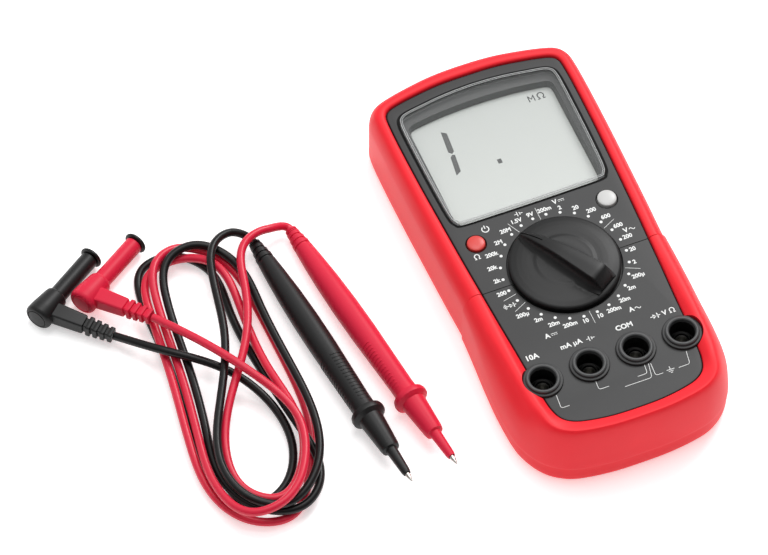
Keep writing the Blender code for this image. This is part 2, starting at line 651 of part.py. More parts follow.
def clip_solid(bm, x0, x1, y, z, r):
    """Spring clip: a U section round the lower half of a fuse cap."""
    inner = r + GAP
    outer = inner + 0.6
    section = []
    for k in range(9):
        a = math.radians(200 + 140 * k / 8)
        section.append((y + outer * math.cos(a), z + outer * math.sin(a)))
    for k in range(8, -1, -1):
        a = math.radians(200 + 140 * k / 8)
        section.append((y + inner * math.cos(a), z + inner * math.sin(a)))
    loft(bm, [[(x0, py, pz) for py, pz in section], [(x1, py, pz) for py, pz in section]])


def make_battery(parts, cutters, mats):
    bm = bmesh.new()
    ring = []
    for cx, cy, start in ((11.2, 79.6, 0), (-11.2, 79.6, 90), (-11.2, 37.2, 180), (11.2, 37.2, 270)):
        for k in range(4):
            a = math.radians(start + 30 * k)
            ring.append((cx + 2.0 * math.cos(a), cy + 2.0 * math.sin(a)))
    prism(bm, ring, (2.1, 19.3))
    battery = write_mesh("battery_9v", bm, mats["battery_9v"], parts, sharp_deg=30)
    bm = bmesh.new()
    for x, r in ((-6.35, 3.6), (6.35, 2.7)):
        stub = Matrix.Translation((x, 36.2, 10.7)) @ Matrix.Rotation(math.radians(90), 4, "X")
        revolve(bm, rod_profile(r, 0.0, 3.2), 12, stub)
    boolean(battery, hide_cutter(write_mesh("add_terminals", bm, None, cutters)), "UNION")
    bm = bmesh.new()
    box(bm, (-12.6, 12.6), (31.5, 32.7), (4.6, 16.8))
    write_mesh("battery_snap", bm, mats["battery_snap"], parts)


# ---- test leads -------------------------------------------------------------------------------
def make_tube(name, points, radius, mat, coll, resolution=2):
    """Round bar along straight segments through the points, with flat caps."""
    curve = bpy.data.curves.new(name, "CURVE")
    curve.dimensions = "3D"
    curve.bevel_depth = radius * MM
    curve.bevel_resolution = resolution
    curve.use_fill_caps = True
    spline = curve.splines.new("POLY")
    spline.points.add(len(points) - 1)
    for target, point in zip(spline.points, points):
        target.co = (point[0] * MM, point[1] * MM, point[2] * MM, 1.0)
    curve.materials.append(mat)
    obj = bpy.data.objects.new(name, curve)
    coll.objects.link(obj)
    return obj


def smooth_route(points, count):
    """Natural cubic curve through the points by chord length, sampled at count places."""
    pts = np.array(points, float)
    n = len(pts)
    step = np.linalg.norm(np.diff(pts, axis=0), axis=1)
    slope = np.diff(pts, axis=0) / step[:, None]
    system = np.eye(n)
    right = np.zeros_like(pts)
    for i in range(1, n - 1):
        system[i, i - 1:i + 2] = (step[i - 1], 2 * (step[i - 1] + step[i]), step[i])
        right[i] = 6 * (slope[i] - slope[i - 1])
    second = np.linalg.solve(system, right)
    u = np.linspace(0, n - 1, count)
    k = np.minimum(u.astype(int), n - 2)
    b = (u - k)[:, None]
    a = 1 - b
    bend = ((a ** 3 - a) * second[k] + (b ** 3 - b) * second[k + 1]) * step[k][:, None] ** 2 / 6
    return a * pts[k] + b * pts[k + 1] + bend


def plug_profile(length):
    """Shrouded plug: elbow barrel below, shroud above, blind bore for the pin."""
    return [
        (0, -5.6), (4.4, -5.6), (5.2, -5.1), (5.6, -4.2), (5.5, -1.0), (4.6, 6.6), (4.2, 7.8),
        (PLUG_SHROUD_R, 7.9), (PLUG_SHROUD_R, length), (2.6, length), (2.6, 8.0), (0, 8.0),
    ]


def arm_rings(length, place):
    """Cable arm with an eight-sided section that ends in four ribs of strain relief."""
    stations = [(0.0, 3.9), (17.0, 3.6)]
    step = (length - 17.0) / 4
    for k in range(4):
        y = 17.0 + k * step
        rib = 3.5 - 0.28 * k
        core = 2.6 - 0.1 * k
        stations += [(y + 0.05, core), (y + 0.3 * step, core), (y + 0.3 * step + 0.05, rib), (y + step, rib)]
    rings = []
    for z, r in stations:
        ring = []
        for k in range(8):
            a = math.radians(22.5 + 45 * k)
            point = place @ Vector((1.06 * r * math.cos(a), 1.06 * r * math.sin(a), z))
            ring.append(tuple(point))
        rings.append(ring)
    return rings


def make_plug(colour, elbow, tip, relief, parts, cutters, mats):
    shroud_axis = along(elbow, tip)
    length = (Vector(tip) - Vector(elbow)).length
    arm_axis = along(elbow, relief)
    arm_length = (Vector(relief) - Vector(elbow)).length
    bm = bmesh.new()
    revolve(bm, plug_profile(length), 18, shroud_axis)
    body = write_mesh(f"plug_body_{colour}", bm, mats[f"plug_body_{colour}"], parts, origin=elbow,
                      sharp_deg=35)
    bm = bmesh.new()
    loft(bm, arm_rings(arm_length - GAP, arm_axis))
    boolean(body, hide_cutter(write_mesh(f"add_arm_{colour}", bm, None, cutters)), "UNION")

    bm = bmesh.new()
    profile = [(0, 8.3), (2.0, 8.3), (2.0, length - 3.0), (1.5, length - 2.2), (0, length - 2.2)]
    revolve(bm, profile, 10, shroud_axis)
    write_mesh(f"plug_pin_{colour}", bm, mats[f"plug_pin_{colour}"], parts, origin=elbow, sharp_deg=35)

    bm = bmesh.new()
    z = length + GAP
    profile = [(0, length - 1.7), (2.2, length - 1.7), (2.2, z), (4.1, z), (4.55, z + 0.35),
               (4.6, z + 0.9), (4.2, z + 1.4), (3.3, z + 1.4), (2.9, z + 1.0), (0, z + 1.0)]
    revolve(bm, profile, 18, shroud_axis)
    write_mesh(f"plug_cap_{colour}", bm, mats[f"plug_cap_{colour}"], parts, origin=tip, sharp_deg=40)


def probe_profile():
    """Probe handle from the cord boot to the nose, with a blind hole for the needle."""
    profile = [(0, 1.3), (2.3, 1.3)]
    for k in range(3):
        z = 1.5 + 2.7 * k
        rib = 2.7 + 0.4 * k
        profile += [(rib, z), (rib, z + 1.6), (rib - 0.35, z + 1.8), (rib - 0.35, z + 2.6)]
    profile += [
        (3.6, 9.6), (4.1, 16.0), (4.8, 28.0), (5.2, 42.0), (5.2, 56.0), (4.9, 70.0), (4.6, 84.0),
        (4.7, 89.8), (6.5, 90.2), (6.85, 91.4), (6.7, 92.6), (5.6, 93.4), (4.9, 93.8), (4.7, 96.0),
        (3.8, 108.2), (3.5, 109.6), (2.3, 109.9), (2.2, 111.0), (1.75, 121.0), (1.45, 122.3),
        (1.25, 122.3), (1.25, 114.0), (0, 114.0),
    ]
    return profile


def make_probe(colour, rear, tip, parts, mats):
    axis = along(rear, tip)
    bm = bmesh.new()
    revolve(bm, probe_profile(), 26, axis)
    write_mesh(f"probe_handle_{colour}", bm, mats[f"probe_handle_{colour}"], parts, origin=rear,
               sharp_deg=35)
    bm = bmesh.new()
    profile = [(0, 114.3), (0.95, 114.3), (0.95, 123.6), (0.25, 126.2), (0, 126.2)]
    revolve(bm, profile, 16, axis)
    write_mesh(f"probe_needle_{colour}", bm, mats[f"probe_needle_{colour}"], parts, origin=rear,
               sharp_deg=35)


# Cord routes, from the strain relief of the plug to the boot of the probe.
BLACK_ROUTE = [
    (-164.5, 36.7, 5.2), (-150.2, 20.4, 9.6), (-129.7, 3.3, 6.8), (-119.4, -18.2, 3.5),
    (-121.6, -39.3, 3.4), (-133.4, -51.8, 2.5), (-146.5, -51.3, 1.9), (-153.3, -38, 1.8),
    (-152.6, -8, 1.7), (-149.3, 24.2, 1.7), (-148.6, 48.3, 1.7), (-143.2, 63.7, 1.7),
    (-131.7, 65.6, 1.7), (-119.8, 54.8, 1.7), (-119.1, 33.3, 2.6), (-118.4, 3.9, 4),
    (-114.5, -29.2, 5.2), (-116.3, -53.4, 5.6), (-126.1, -61.7, 5.7), (-140.5, -57.7, 5.6),
    (-150, -42, 5.7), (-147.9, -16.3, 5.6), (-143.4, 14.5, 5.5), (-140.4, 44, 6.6), (-133.7, 59.9, 8.2),
    (-121.4, 62.9, 7.8), (-110.8, 52.6, 6.5), (-108.5, 28.1, 7.5), (-107.8, -4.3, 8),
    (-109.2, -33.2, 8.8), (-118.7, -53, 9.3), (-132.7, -60.5, 9.2), (-144.7, -53.7, 10.6),
    (-149.2, -36, 11), (-140.1, -11.2, 11.1), (-126.8, 17.8, 10.8), (-121, 45.3, 10.9),
    (-114.4, 59.2, 10.8), (-104.3, 62.4, 7.4), (-99.2, 57.1, 4.4),
]
RED_ROUTE = [
    (-149.2, 35.3, 11.1), (-138.5, 19, 13.8), (-122.9, -7.2, 14.4), (-115.3, -26.8, 13.1),
    (-120.7, -48.7, 13.3), (-133.5, -61.3, 13.1), (-146.4, -60.5, 11), (-153.8, -45.7, 8.6),
    (-152.3, -20.9, 6.9), (-147.5, 11.3, 5.7), (-144.5, 42.8, 7.1), (-138.9, 60, 8.3),
    (-127.9, 65.8, 5.2), (-114.5, 56.9, 3.1), (-109.3, 34.5, 3.1), (-108.1, 4, 2.3),
    (-109.8, -26.1, 1.7), (-119.4, -49.3, 1.7), (-131.7, -62.2, 1.9), (-145.2, -59.6, 2.8),
    (-155.3, -45, 3.7), (-156, -21.9, 5), (-151.5, 10.2, 5.3), (-148.1, 42, 5.3), (-141.9, 58.8, 4.4),
    (-128.5, 61.1, 4.4), (-117.7, 51.5, 7.8), (-115.5, 31.2, 6.5), (-116.3, -0.4, 7.6),
    (-114.6, -28.3, 8.9), (-122.3, -48.5, 8.7), (-133.5, -56.4, 8.1), (-143.2, -50.5, 8.2),
    (-145.9, -34.5, 8.2), (-136.9, -12.1, 9.2), (-120.3, 12.6, 10.4), (-111, 37.2, 10.3),
    (-104, 54.8, 10.3), (-93.5, 58.8, 8.6), (-83.9, 57.5, 4.4),
]

LEADS = {
    "black": {
        "elbow": (-184.9, 57.8, 5.9), "tip": (-160.7, 73.9, 4.9), "relief": (-164.9, 37.1, 5.2),
        "probe": ((-99.1, 56.6, 4.4), (-85.4, -68.4, 8.2)),
        "route": BLACK_ROUTE,
    },
    "red": {
        "elbow": (-166.9, 57.6, 6.4), "tip": (-142.5, 73.8, 4.9), "relief": (-149.6, 35.8, 11.0),
        "probe": ((-83.8, 57.0, 4.4), (-67.0, -67.1, 8.2)),
        "route": RED_ROUTE,
    },
}
CORD_POINTS = 80


def make_leads(parts, cutters, mats):
    for colour, lead in LEADS.items():
        make_plug(colour, lead["elbow"], lead["tip"], lead["relief"], parts, cutters, mats)
        make_probe(colour, *lead["probe"], parts, mats)
        route = smooth_route(lead["route"], CORD_POINTS)
        make_tube(f"cord_{colour}", route, CORD_R, mats[f"cord_{colour}"], parts)


# ---- materials --------------------------------------------------------------------------------
RED_RUBBER = (0.78, 0.03, 0.045)
LEAD_RED = (0.76, 0.015, 0.06)
DARK_GREY = (0.075, 0.078, 0.08)
BLACK = (0.02, 0.02, 0.021)
BRASS = (0.72, 0.55, 0.28)
NICKEL = (0.72, 0.71, 0.69)


def make_materials():
    table = {
        "bumper_upper": (RED_RUBBER, 0.5), "bumper_lower": (RED_RUBBER, 0.5),
        "panel_upper": (DARK_GREY, 0.6), "panel_lower": (DARK_GREY, 0.6),
        "rear_case": ((0.06, 0.06, 0.065), 0.6), "display_window": ((0.85, 0.87, 0.86), 0.05, 0.0, 0.9),
        "lcd_frame": ((0.05, 0.052, 0.055), 0.4), "lcd_glass": ((0.62, 0.66, 0.6), 0.25),
        "zebra_strip": ((0.35, 0.2, 0.2), 0.7), "main_pcb": ((0.03, 0.22, 0.09), 0.5),
        "selector_knob": (BLACK, 0.45), "switch_rotor": ((0.75, 0.74, 0.7), 0.5),
        "rotor_contact": (BRASS, 0.3, 1.0),
        "detent_ring": ((0.7, 0.69, 0.66), 0.5), "power_button": ((0.75, 0.08, 0.07), 0.45),
        "power_switch": ((0.1, 0.1, 0.1), 0.5), "low_z_button": ((0.72, 0.72, 0.71), 0.45),
        "low_z_switch": ((0.12, 0.12, 0.12), 0.5), "adc_chip": ((0.03, 0.03, 0.03), 0.5),
        "buzzer": ((0.04, 0.04, 0.04), 0.4), "fuse_10a": ((0.8, 0.78, 0.72), 0.4),
        "fuse_ma": ((0.78, 0.8, 0.78), 0.3),
        "shunt_wire": ((0.72, 0.45, 0.3), 0.35, 1.0), "battery_9v": ((0.1, 0.12, 0.2), 0.35),
        "battery_snap": ((0.03, 0.03, 0.03), 0.6), "battery_door": ((0.062, 0.062, 0.067), 0.6),
        "tilt_stand": ((0.055, 0.055, 0.06), 0.55),
        "door_screw": (NICKEL, 0.35, 1.0), "detent_ball_1": (NICKEL, 0.2, 1.0),
        "detent_ball_2": (NICKEL, 0.2, 1.0), "pcb_screw_1": (NICKEL, 0.35, 1.0),
        "pcb_screw_2": (NICKEL, 0.35, 1.0),
    }
    for index in range(1, 5):
        table[f"jack_sleeve_{index}"] = (BLACK, 0.35)
        table[f"jack_contact_{index}"] = (NICKEL, 0.3, 1.0)
        table[f"case_screw_{index}"] = (NICKEL, 0.35, 1.0)
        table[f"fuse_clip_{index}"] = (NICKEL, 0.35, 1.0)
    for colour, paint in (("black", BLACK), ("red", LEAD_RED)):
        table[f"plug_body_{colour}"] = (paint, 0.45)
        table[f"plug_cap_{colour}"] = (BLACK, 0.4)
        table[f"plug_pin_{colour}"] = (NICKEL, 0.25, 1.0)
        table[f"cord_{colour}"] = (paint, 0.35)
        table[f"probe_handle_{colour}"] = (paint, 0.45)
        table[f"probe_needle_{colour}"] = (NICKEL, 0.2, 1.0)
    return {name: principled(f"{name}_mat", *spec) for name, spec in table.items()}


def main():
    clear_scene()
    parts = make_collection("digital_multimeter")
    cutters = make_collection("digital_multimeter_cutters")
    mats = make_materials()
    make_bumpers(parts, cutters, mats)
    make_panels(parts, cutters, mats)
    make_rear_case(parts, cutters, mats)
    make_door(parts, cutters, mats)
    make_screws(parts, mats)
    make_stand(parts, cutters, mats)
    make_display(parts, cutters, mats)
    make_knob(parts, cutters, mats)
    make_buttons(parts, mats)
    make_jacks(parts, mats)
    make_board(parts, cutters, mats)
    make_fuses(parts, mats)
    make_battery(parts, cutters, mats)
    make_leads(parts, cutters, mats)


main()
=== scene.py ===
"""Looks of a handheld digital multimeter and its two test leads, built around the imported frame.

The meter lies on its back: +X right, +Y towards the display end, +Z out of the front panel.
Lengths are in millimetres and are written to the meshes in metres; the lights' are in metres.
"""
import math

import bmesh
import bpy
import numpy as np
from mathutils import Matrix
from mathutils import Vector


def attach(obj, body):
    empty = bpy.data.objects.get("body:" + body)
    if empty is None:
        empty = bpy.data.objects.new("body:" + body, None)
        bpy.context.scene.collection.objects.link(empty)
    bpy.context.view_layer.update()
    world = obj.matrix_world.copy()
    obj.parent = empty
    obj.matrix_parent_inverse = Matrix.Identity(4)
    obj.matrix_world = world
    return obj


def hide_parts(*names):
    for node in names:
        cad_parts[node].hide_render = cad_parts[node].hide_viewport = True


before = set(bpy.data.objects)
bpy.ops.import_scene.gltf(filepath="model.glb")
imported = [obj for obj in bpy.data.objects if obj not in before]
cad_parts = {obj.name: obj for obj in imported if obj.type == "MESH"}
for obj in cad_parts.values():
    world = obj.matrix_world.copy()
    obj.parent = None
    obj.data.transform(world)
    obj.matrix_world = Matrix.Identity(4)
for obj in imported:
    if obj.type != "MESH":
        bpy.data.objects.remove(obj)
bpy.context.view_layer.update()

MM = 0.001

# ---- driving dimensions ----
PANEL_TOP = 30.0
PANEL_BACK = 28.0
FLANGE_Z = (25.9, 27.6)
SEAM_Y = -14.3
SEAM_GAP = 0.3
BUMPER_WALL = 3.2
SKIRT_SHARE = 0.46
CUT_TOP = 40.0  # where every cutter that opens the front ends, above all of the meter

KNOB = (0.0, -13.6)
KNOB_R = 21.5
POINTER_DEG = 122.4
DIAL_RECESS_R = 22.0
HUB_R = 8.6
DOT_RING_R = 24.5
DIAL_STEPS = 28

JACK_X = (-28.5, -9.5, 9.5, 28.5)
JACK_Y = -59.0
COLLAR_R = 7.7
JACK_HOLE_R = 5.9
JACK_BORE_R = 4.9

POWER_BUTTON = (-27.4, 8.1, 3.55)
LOW_Z_BUTTON = (27.0, 8.5, 3.75)
LCD_Z = 25.2

CORD_R = 1.65
SHROUD_R = 3.55

# Half outlines, from the top middle down the right side to the bottom middle.
PANEL_HALF = [
    (0, 83.2), (12, 82.9), (23, 81.4), (30.5, 79.9), (34.2, 78.6), (36.0, 76.6), (36.6, 73.0),
    (36.8, 62), (36.5, 42), (35.8, 22), (35.0, 2), (34.2, -14), (33.5, -28), (32.7, -42),
    (32.1, -54), (31.3, -65), (30.6, -71.5), (28.8, -76.6), (25.0, -79.8), (19.0, -81.6),
    (10, -82.9), (0, -83.2),
]
DISPLAY_END = [
    (0, 91.0), (13, 90.4), (25, 88.4), (34, 86.2), (38.8, 84.2), (41.6, 81.0), (42.9, 76.2),
    (43.3, 63), (43.2, 42), (42.8, 22),
]
CHIN_END = [
    (43.9, -66), (42.0, -73.6), (38.2, -80.6), (33.0, -85.4), (26.0, -88.6), (13, -90.6), (0, -91.0),
]
UPPER_HALF = [*DISPLAY_END, (42.3, 2), (41.8, -14), (42.3, -26), (43.6, -38), (44.4, -52), *CHIN_END]
LOWER_HALF = [*DISPLAY_END, (42.4, 2), (42.4, -14), (43.0, -26), (43.9, -38), (44.5, -52), *CHIN_END]
WINDOW_HALF = [
    (0, 78.5), (12, 77.9), (22, 76.5), (28.8, 75.3), (31.7, 73.9), (33.2, 71.2), (33.6, 64),
    (33.4, 45), (33.0, 30), (32.5, 22.5), (31.4, 19.5), (28.8, 17.9), (15, 17.6), (0, 17.5),
]
LCD_HALF = [
    (0, 71.8), (14, 71.3), (24.5, 70.0), (28.2, 69.2), (29.5, 67.2), (29.6, 60), (29.6, 45), (29.6, 30),
    (29.5, 23.5), (28.7, 20.8), (26.4, 19.7), (14, 19.6), (0, 19.6),
]

# Rim sections of the bumper as (share of the way from the outline to the panel edge, height), from
# the panel edge over the rim and down the side: at the display end, beside the jacks, at the chin.
UPPER_RIM = [
    (1.0, 29.6), (0.95, 30.5), (0.80, 31.0), (0.55, 30.9), (0.33, 29.9), (0.16, 28.0), (0.05, 25.6),
    (0.0, 22.8), (0.0, 16.0), (0.0, 10.0), (0.0, 9.6), (0.0, 5.0), (0.10, 2.4), (0.30, 0.9),
]
SIDE_RIM = [
    (1.0, 29.6), (0.98, 30.3), (0.80, 31.9), (0.66, 32.3), (0.50, 31.6), (0.33, 28.9), (0.18, 24.4),
    (0.07, 18.6), (0.02, 13.4), (0.0, 10.2), (0.03, 9.8), (0.03, 4.6), (0.09, 2.2), (0.20, 0.9),
]
CHIN_RIM = [
    (1.0, 29.6), (0.98, 30.3), (0.72, 31.0), (0.46, 31.5), (0.36, 31.2), (0.24, 29.4), (0.13, 25.0),
    (0.05, 19.4), (0.01, 14.0), (0.0, 10.2), (0.04, 9.8), (0.04, 4.6), (0.10, 2.2), (0.24, 0.9),
]
SIDE_BLEND_Y = (-14.0, -52.0)
CHIN_BLEND_Y = (-72.0, -86.0)

RED_RUBBER = (0.90, 0.015, 0.027)
LEAD_RED = (0.68, 0.012, 0.046)
PANEL_GREY = (0.0155, 0.0158, 0.0162)
KNOB_BLACK = (0.005, 0.0051, 0.0053)
LEAD_BLACK = (0.0045, 0.0045, 0.0047)
PRINT_WHITE = (0.84, 0.85, 0.84)


# ---- shape helpers ----
def catmull(points, steps, mirrored=False):
    """Smooth curve through the points; mirrored ones meet their mirror image at both ends."""
    pts = [np.array(p, float) for p in points]
    if mirrored:
        flip = np.array([-1.0, 1.0])
        pts = [pts[1] * flip, *pts, pts[-2] * flip]
    else:
        pts = [2 * pts[0] - pts[1], *pts, 2 * pts[-1] - pts[-2]]
    out = []
    for a, b, c, d in zip(pts, pts[1:], pts[2:], pts[3:]):
        for k in range(steps):
            t = k / steps
            out.append(0.5 * (2 * b + (c - a) * t + (2 * a - 5 * b + 4 * c - d) * t ** 2
                              + (3 * b - 3 * c + d - a) * t ** 3))
    out.append(pts[-2])
    return out


def outline(half, steps=8):
    """Closed symmetric outline, clockwise from the top middle."""
    right = catmull(half, steps, mirrored=True)
    left = [p * np.array([-1.0, 1.0]) for p in right[-2:0:-1]]
    return np.array(right + left)


def inset(contour, depth):
    """Move a clockwise closed outline inwards."""
    tangent = np.roll(contour, -1, 0) - np.roll(contour, 1, 0)
    tangent /= np.linalg.norm(tangent, axis=1)[:, None]
    return contour + depth * np.stack([tangent[:, 1], -tangent[:, 0]], 1)


def at_height(contour, z):
    return [(x, y, z) for x, y in contour]


def smoothstep(value, start, end):
    t = np.clip((value - start) / (end - start), 0, 1)
    return t * t * (3 - 2 * t)


def loft(bm, rings, closed=False):
    """Skin equal rings of points; closed joins the last ring to the first, else both ends are capped."""
    rows = [[bm.verts.new(p) for p in ring] for ring in rings]
    count = len(rows[0])
    pairs = list(zip(rows, rows[1:]))
    if closed:
        pairs.append((rows[-1], rows[0]))
    for low, high in pairs:
        for i in range(count):
            j = (i + 1) % count
            bm.faces.new((low[i], low[j], high[j], high[i]))
    if not closed:
        bm.faces.new(rows[0])
        bm.faces.new(list(reversed(rows[-1])))


def revolve(bm, profile, steps=64, place=None, closed=False):
    """Turn an (r, z) profile round the axis; points with r = 0 become single pole vertices."""
    place = place or Matrix.Identity(4)
    rows = []
    for r, z in profile:
        if r == 0:
            rows.append([bm.verts.new(place @ Vector((0, 0, z)))])
            continue
        ring = []
        for k in range(steps):
            a = 2 * math.pi * k / steps
            ring.append(bm.verts.new(place @ Vector((r * math.cos(a), r * math.sin(a), z))))
        rows.append(ring)
    pairs = list(zip(rows, rows[1:]))
    if closed:
        pairs.append((rows[-1], rows[0]))
    for low, high in pairs:
        for i in range(steps):
            j = (i + 1) % steps
            corners = [low[i % len(low)], low[j % len(low)], high[j % len(high)], high[i % len(high)]]
            unique = list(dict.fromkeys(corners))
            if len(unique) > 2:
                bm.faces.new(unique)


def fillet(points, radius, steps=4):
    """Round the corners of a profile or an open line, apart from its two ends."""
    pts = [np.array(p, float) for p in points]
    out = [pts[0]]
    for a, b, c in zip(pts, pts[1:], pts[2:]):
        before = a - b
        after = c - b
        reach = min(radius, 0.45 * np.linalg.norm(before), 0.45 * np.linalg.norm(after))
        start = b + before / np.linalg.norm(before) * reach
        end = b + after / np.linalg.norm(after) * reach
        for k in range(steps + 1):
            t = k / steps
            out.append((1 - t) ** 2 * start + 2 * t * (1 - t) * b + t * t * end)
    out.append(pts[-1])
    return [tuple(float(v) for v in p) for p in out]


def box(bm, x, y, z):
    corners = [(x[i], y[j], z[k]) for k in (0, 1) for i, j in ((0, 0), (0, 1), (1, 1), (1, 0))]
    loft(bm, [corners[:4], corners[4:]])


def shifted(x, y, z=0.0):
    return Matrix.Translation((x, y, z))


def along(start, end):
    """Frame with its origin at start and +Z pointing at end."""
    start = Vector(start)
    direction = (Vector(end) - start).normalized()
    return Matrix.Translation(start) @ direction.to_track_quat("Z", "Y").to_matrix().to_4x4()


def slab(bm, contour, low, high):
    """Flat outline filled between two heights."""
    loft(bm, [at_height(contour, low), at_height(contour, high)])


def band(bm, contour, inner, outer, low, high):
    """Closed frame between two insets of an outline and two heights."""
    corners = ((inner, low), (inner, high), (outer, high), (outer, low))
    loft(bm, [at_height(inset(contour, depth), z) for depth, z in corners], closed=True)


def drill(bm, x, y, r, floor, steps):
    """Plain round cutter from a height up through the front."""
    revolve(bm, [(0, floor), (r, floor), (r, CUT_TOP), (0, CUT_TOP)], steps, shifted(x, y))


def cut_at_seam(bm, keep_above):
    """Keep the solid on one side of the seam across the meter and close the cut face."""
    y = SEAM_Y + (SEAM_GAP / 2 if keep_above else -SEAM_GAP / 2)
    geometry = bm.verts[:] + bm.edges[:] + bm.faces[:]
    bmesh.ops.bisect_plane(bm, geom=geometry, plane_co=(0, y, 0), plane_no=(0, 1, 0),
                           clear_inner=keep_above, clear_outer=not keep_above)
    rim = [e for e in bm.edges if e.is_boundary]
    bmesh.ops.holes_fill(bm, edges=rim)


# ---- objects ----
def to_object(name, bm, materials=(), sharp_deg=35.0):
    """Mesh object from a bmesh in millimetres, outward faces, smooth apart from sharp edges."""
    bmesh.ops.recalc_face_normals(bm, faces=bm.faces[:])
    bmesh.ops.scale(bm, vec=(MM, MM, MM), verts=bm.verts[:])
    mesh = bpy.data.meshes.new(name)
    bm.to_mesh(mesh)
    bm.free()
    mesh.shade_smooth()
    mesh.set_sharp_from_angle(angle=math.radians(sharp_deg))
    for material in materials:
        mesh.materials.append(material)
    obj = bpy.data.objects.new(name, mesh)
    bpy.context.scene.collection.objects.link(obj)
    return obj


def apply_boolean(target, bm, operation="DIFFERENCE"):
    """Cut a solid out of the target, or join it on, and keep only the result."""
    tool = to_object("tool", bm)
    modifier = target.modifiers.new("cut", "BOOLEAN")
    modifier.object = tool
    modifier.operation = operation
    modifier.solver = "EXACT"
    graph = bpy.context.evaluated_depsgraph_get()
    result = bpy.data.meshes.new_from_object(target.evaluated_get(graph))
    target.modifiers.clear()
    spent = target.data
    target.data = result
    bpy.data.meshes.remove(spent)
    bpy.data.objects.remove(tool)


def reshade(obj, sharp_deg):
    obj.data.shade_smooth()
    obj.data.set_sharp_from_angle(angle=math.radians(sharp_deg))


def place(obj, body, *nodes, slot=None):
    """Ride on a body and stand for CAD nodes; the slot argument is not used."""
    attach(obj, body)
    if nodes:
        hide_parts(*nodes)
    return obj


# ---- materials ----
CLOUD_MM = 14
GLOSS_SPREAD = 0.05


def add(nodes, kind, **inputs):
    """New shader node with its named inputs set."""
    node = nodes.new(kind)
    for name, value in inputs.items():
        node.inputs[name.replace("_", " ")].default_value = value
    return node


def blend(nodes, low, high):
    """Mix node between two colours."""
    mix = nodes.new("ShaderNodeMix")
    mix.data_type = "RGBA"
    mix.inputs["A"].default_value = (*low, 1)
    mix.inputs["B"].default_value = (*high, 1)
    return mix


def moulded(name, colour, roughness, grain_mm=0.35, grain_depth_mm=0.012, mottle=0.06, **fixed):
    """Moulded plastic or rubber: uneven colour and gloss over a fine surface grain."""
    material = bpy.data.materials.new(name)
    material.use_nodes = True
    tree = material.node_tree
    nodes = tree.nodes
    links = tree.links
    surface = nodes["Principled BSDF"]
    for key, value in fixed.items():
        surface.inputs[key.replace("_", " ")].default_value = value
    where = nodes.new("ShaderNodeTexCoord")

    cloud = add(nodes, "ShaderNodeTexNoise", Scale=1 / (CLOUD_MM * MM), Detail=3.0, Roughness=0.55)
    links.new(where.outputs["Object"], cloud.inputs["Vector"])
    tint = blend(nodes, [c * (1 - mottle) for c in colour],
                 [min(1.0, c * (1 + mottle)) for c in colour])
    links.new(cloud.outputs["Fac"], tint.inputs["Factor"])
    links.new(tint.outputs["Result"], surface.inputs["Base Color"])

    grain = add(nodes, "ShaderNodeTexNoise", Scale=1 / (grain_mm * MM), Detail=2.0, Roughness=0.6)
    links.new(where.outputs["Object"], grain.inputs["Vector"])
    gloss = add(nodes, "ShaderNodeMapRange", To_Min=roughness - GLOSS_SPREAD,
                To_Max=roughness + GLOSS_SPREAD)
    links.new(grain.outputs["Fac"], gloss.inputs["Value"])
    links.new(gloss.outputs["Result"], surface.inputs["Roughness"])

    bump = add(nodes, "ShaderNodeBump", Strength=1.0, Distance=grain_depth_mm * MM)
    links.new(grain.outputs["Fac"], bump.inputs["Height"])
    links.new(bump.outputs["Normal"], surface.inputs["Normal"])
    return material


def metal(name, colour, roughness):
    """Turned or plated metal with faint tarnish and fine scratches."""
    return moulded(name, colour, roughness, grain_mm=0.15, grain_depth_mm=0.003, mottle=0.08,
                   Metallic=1.0)


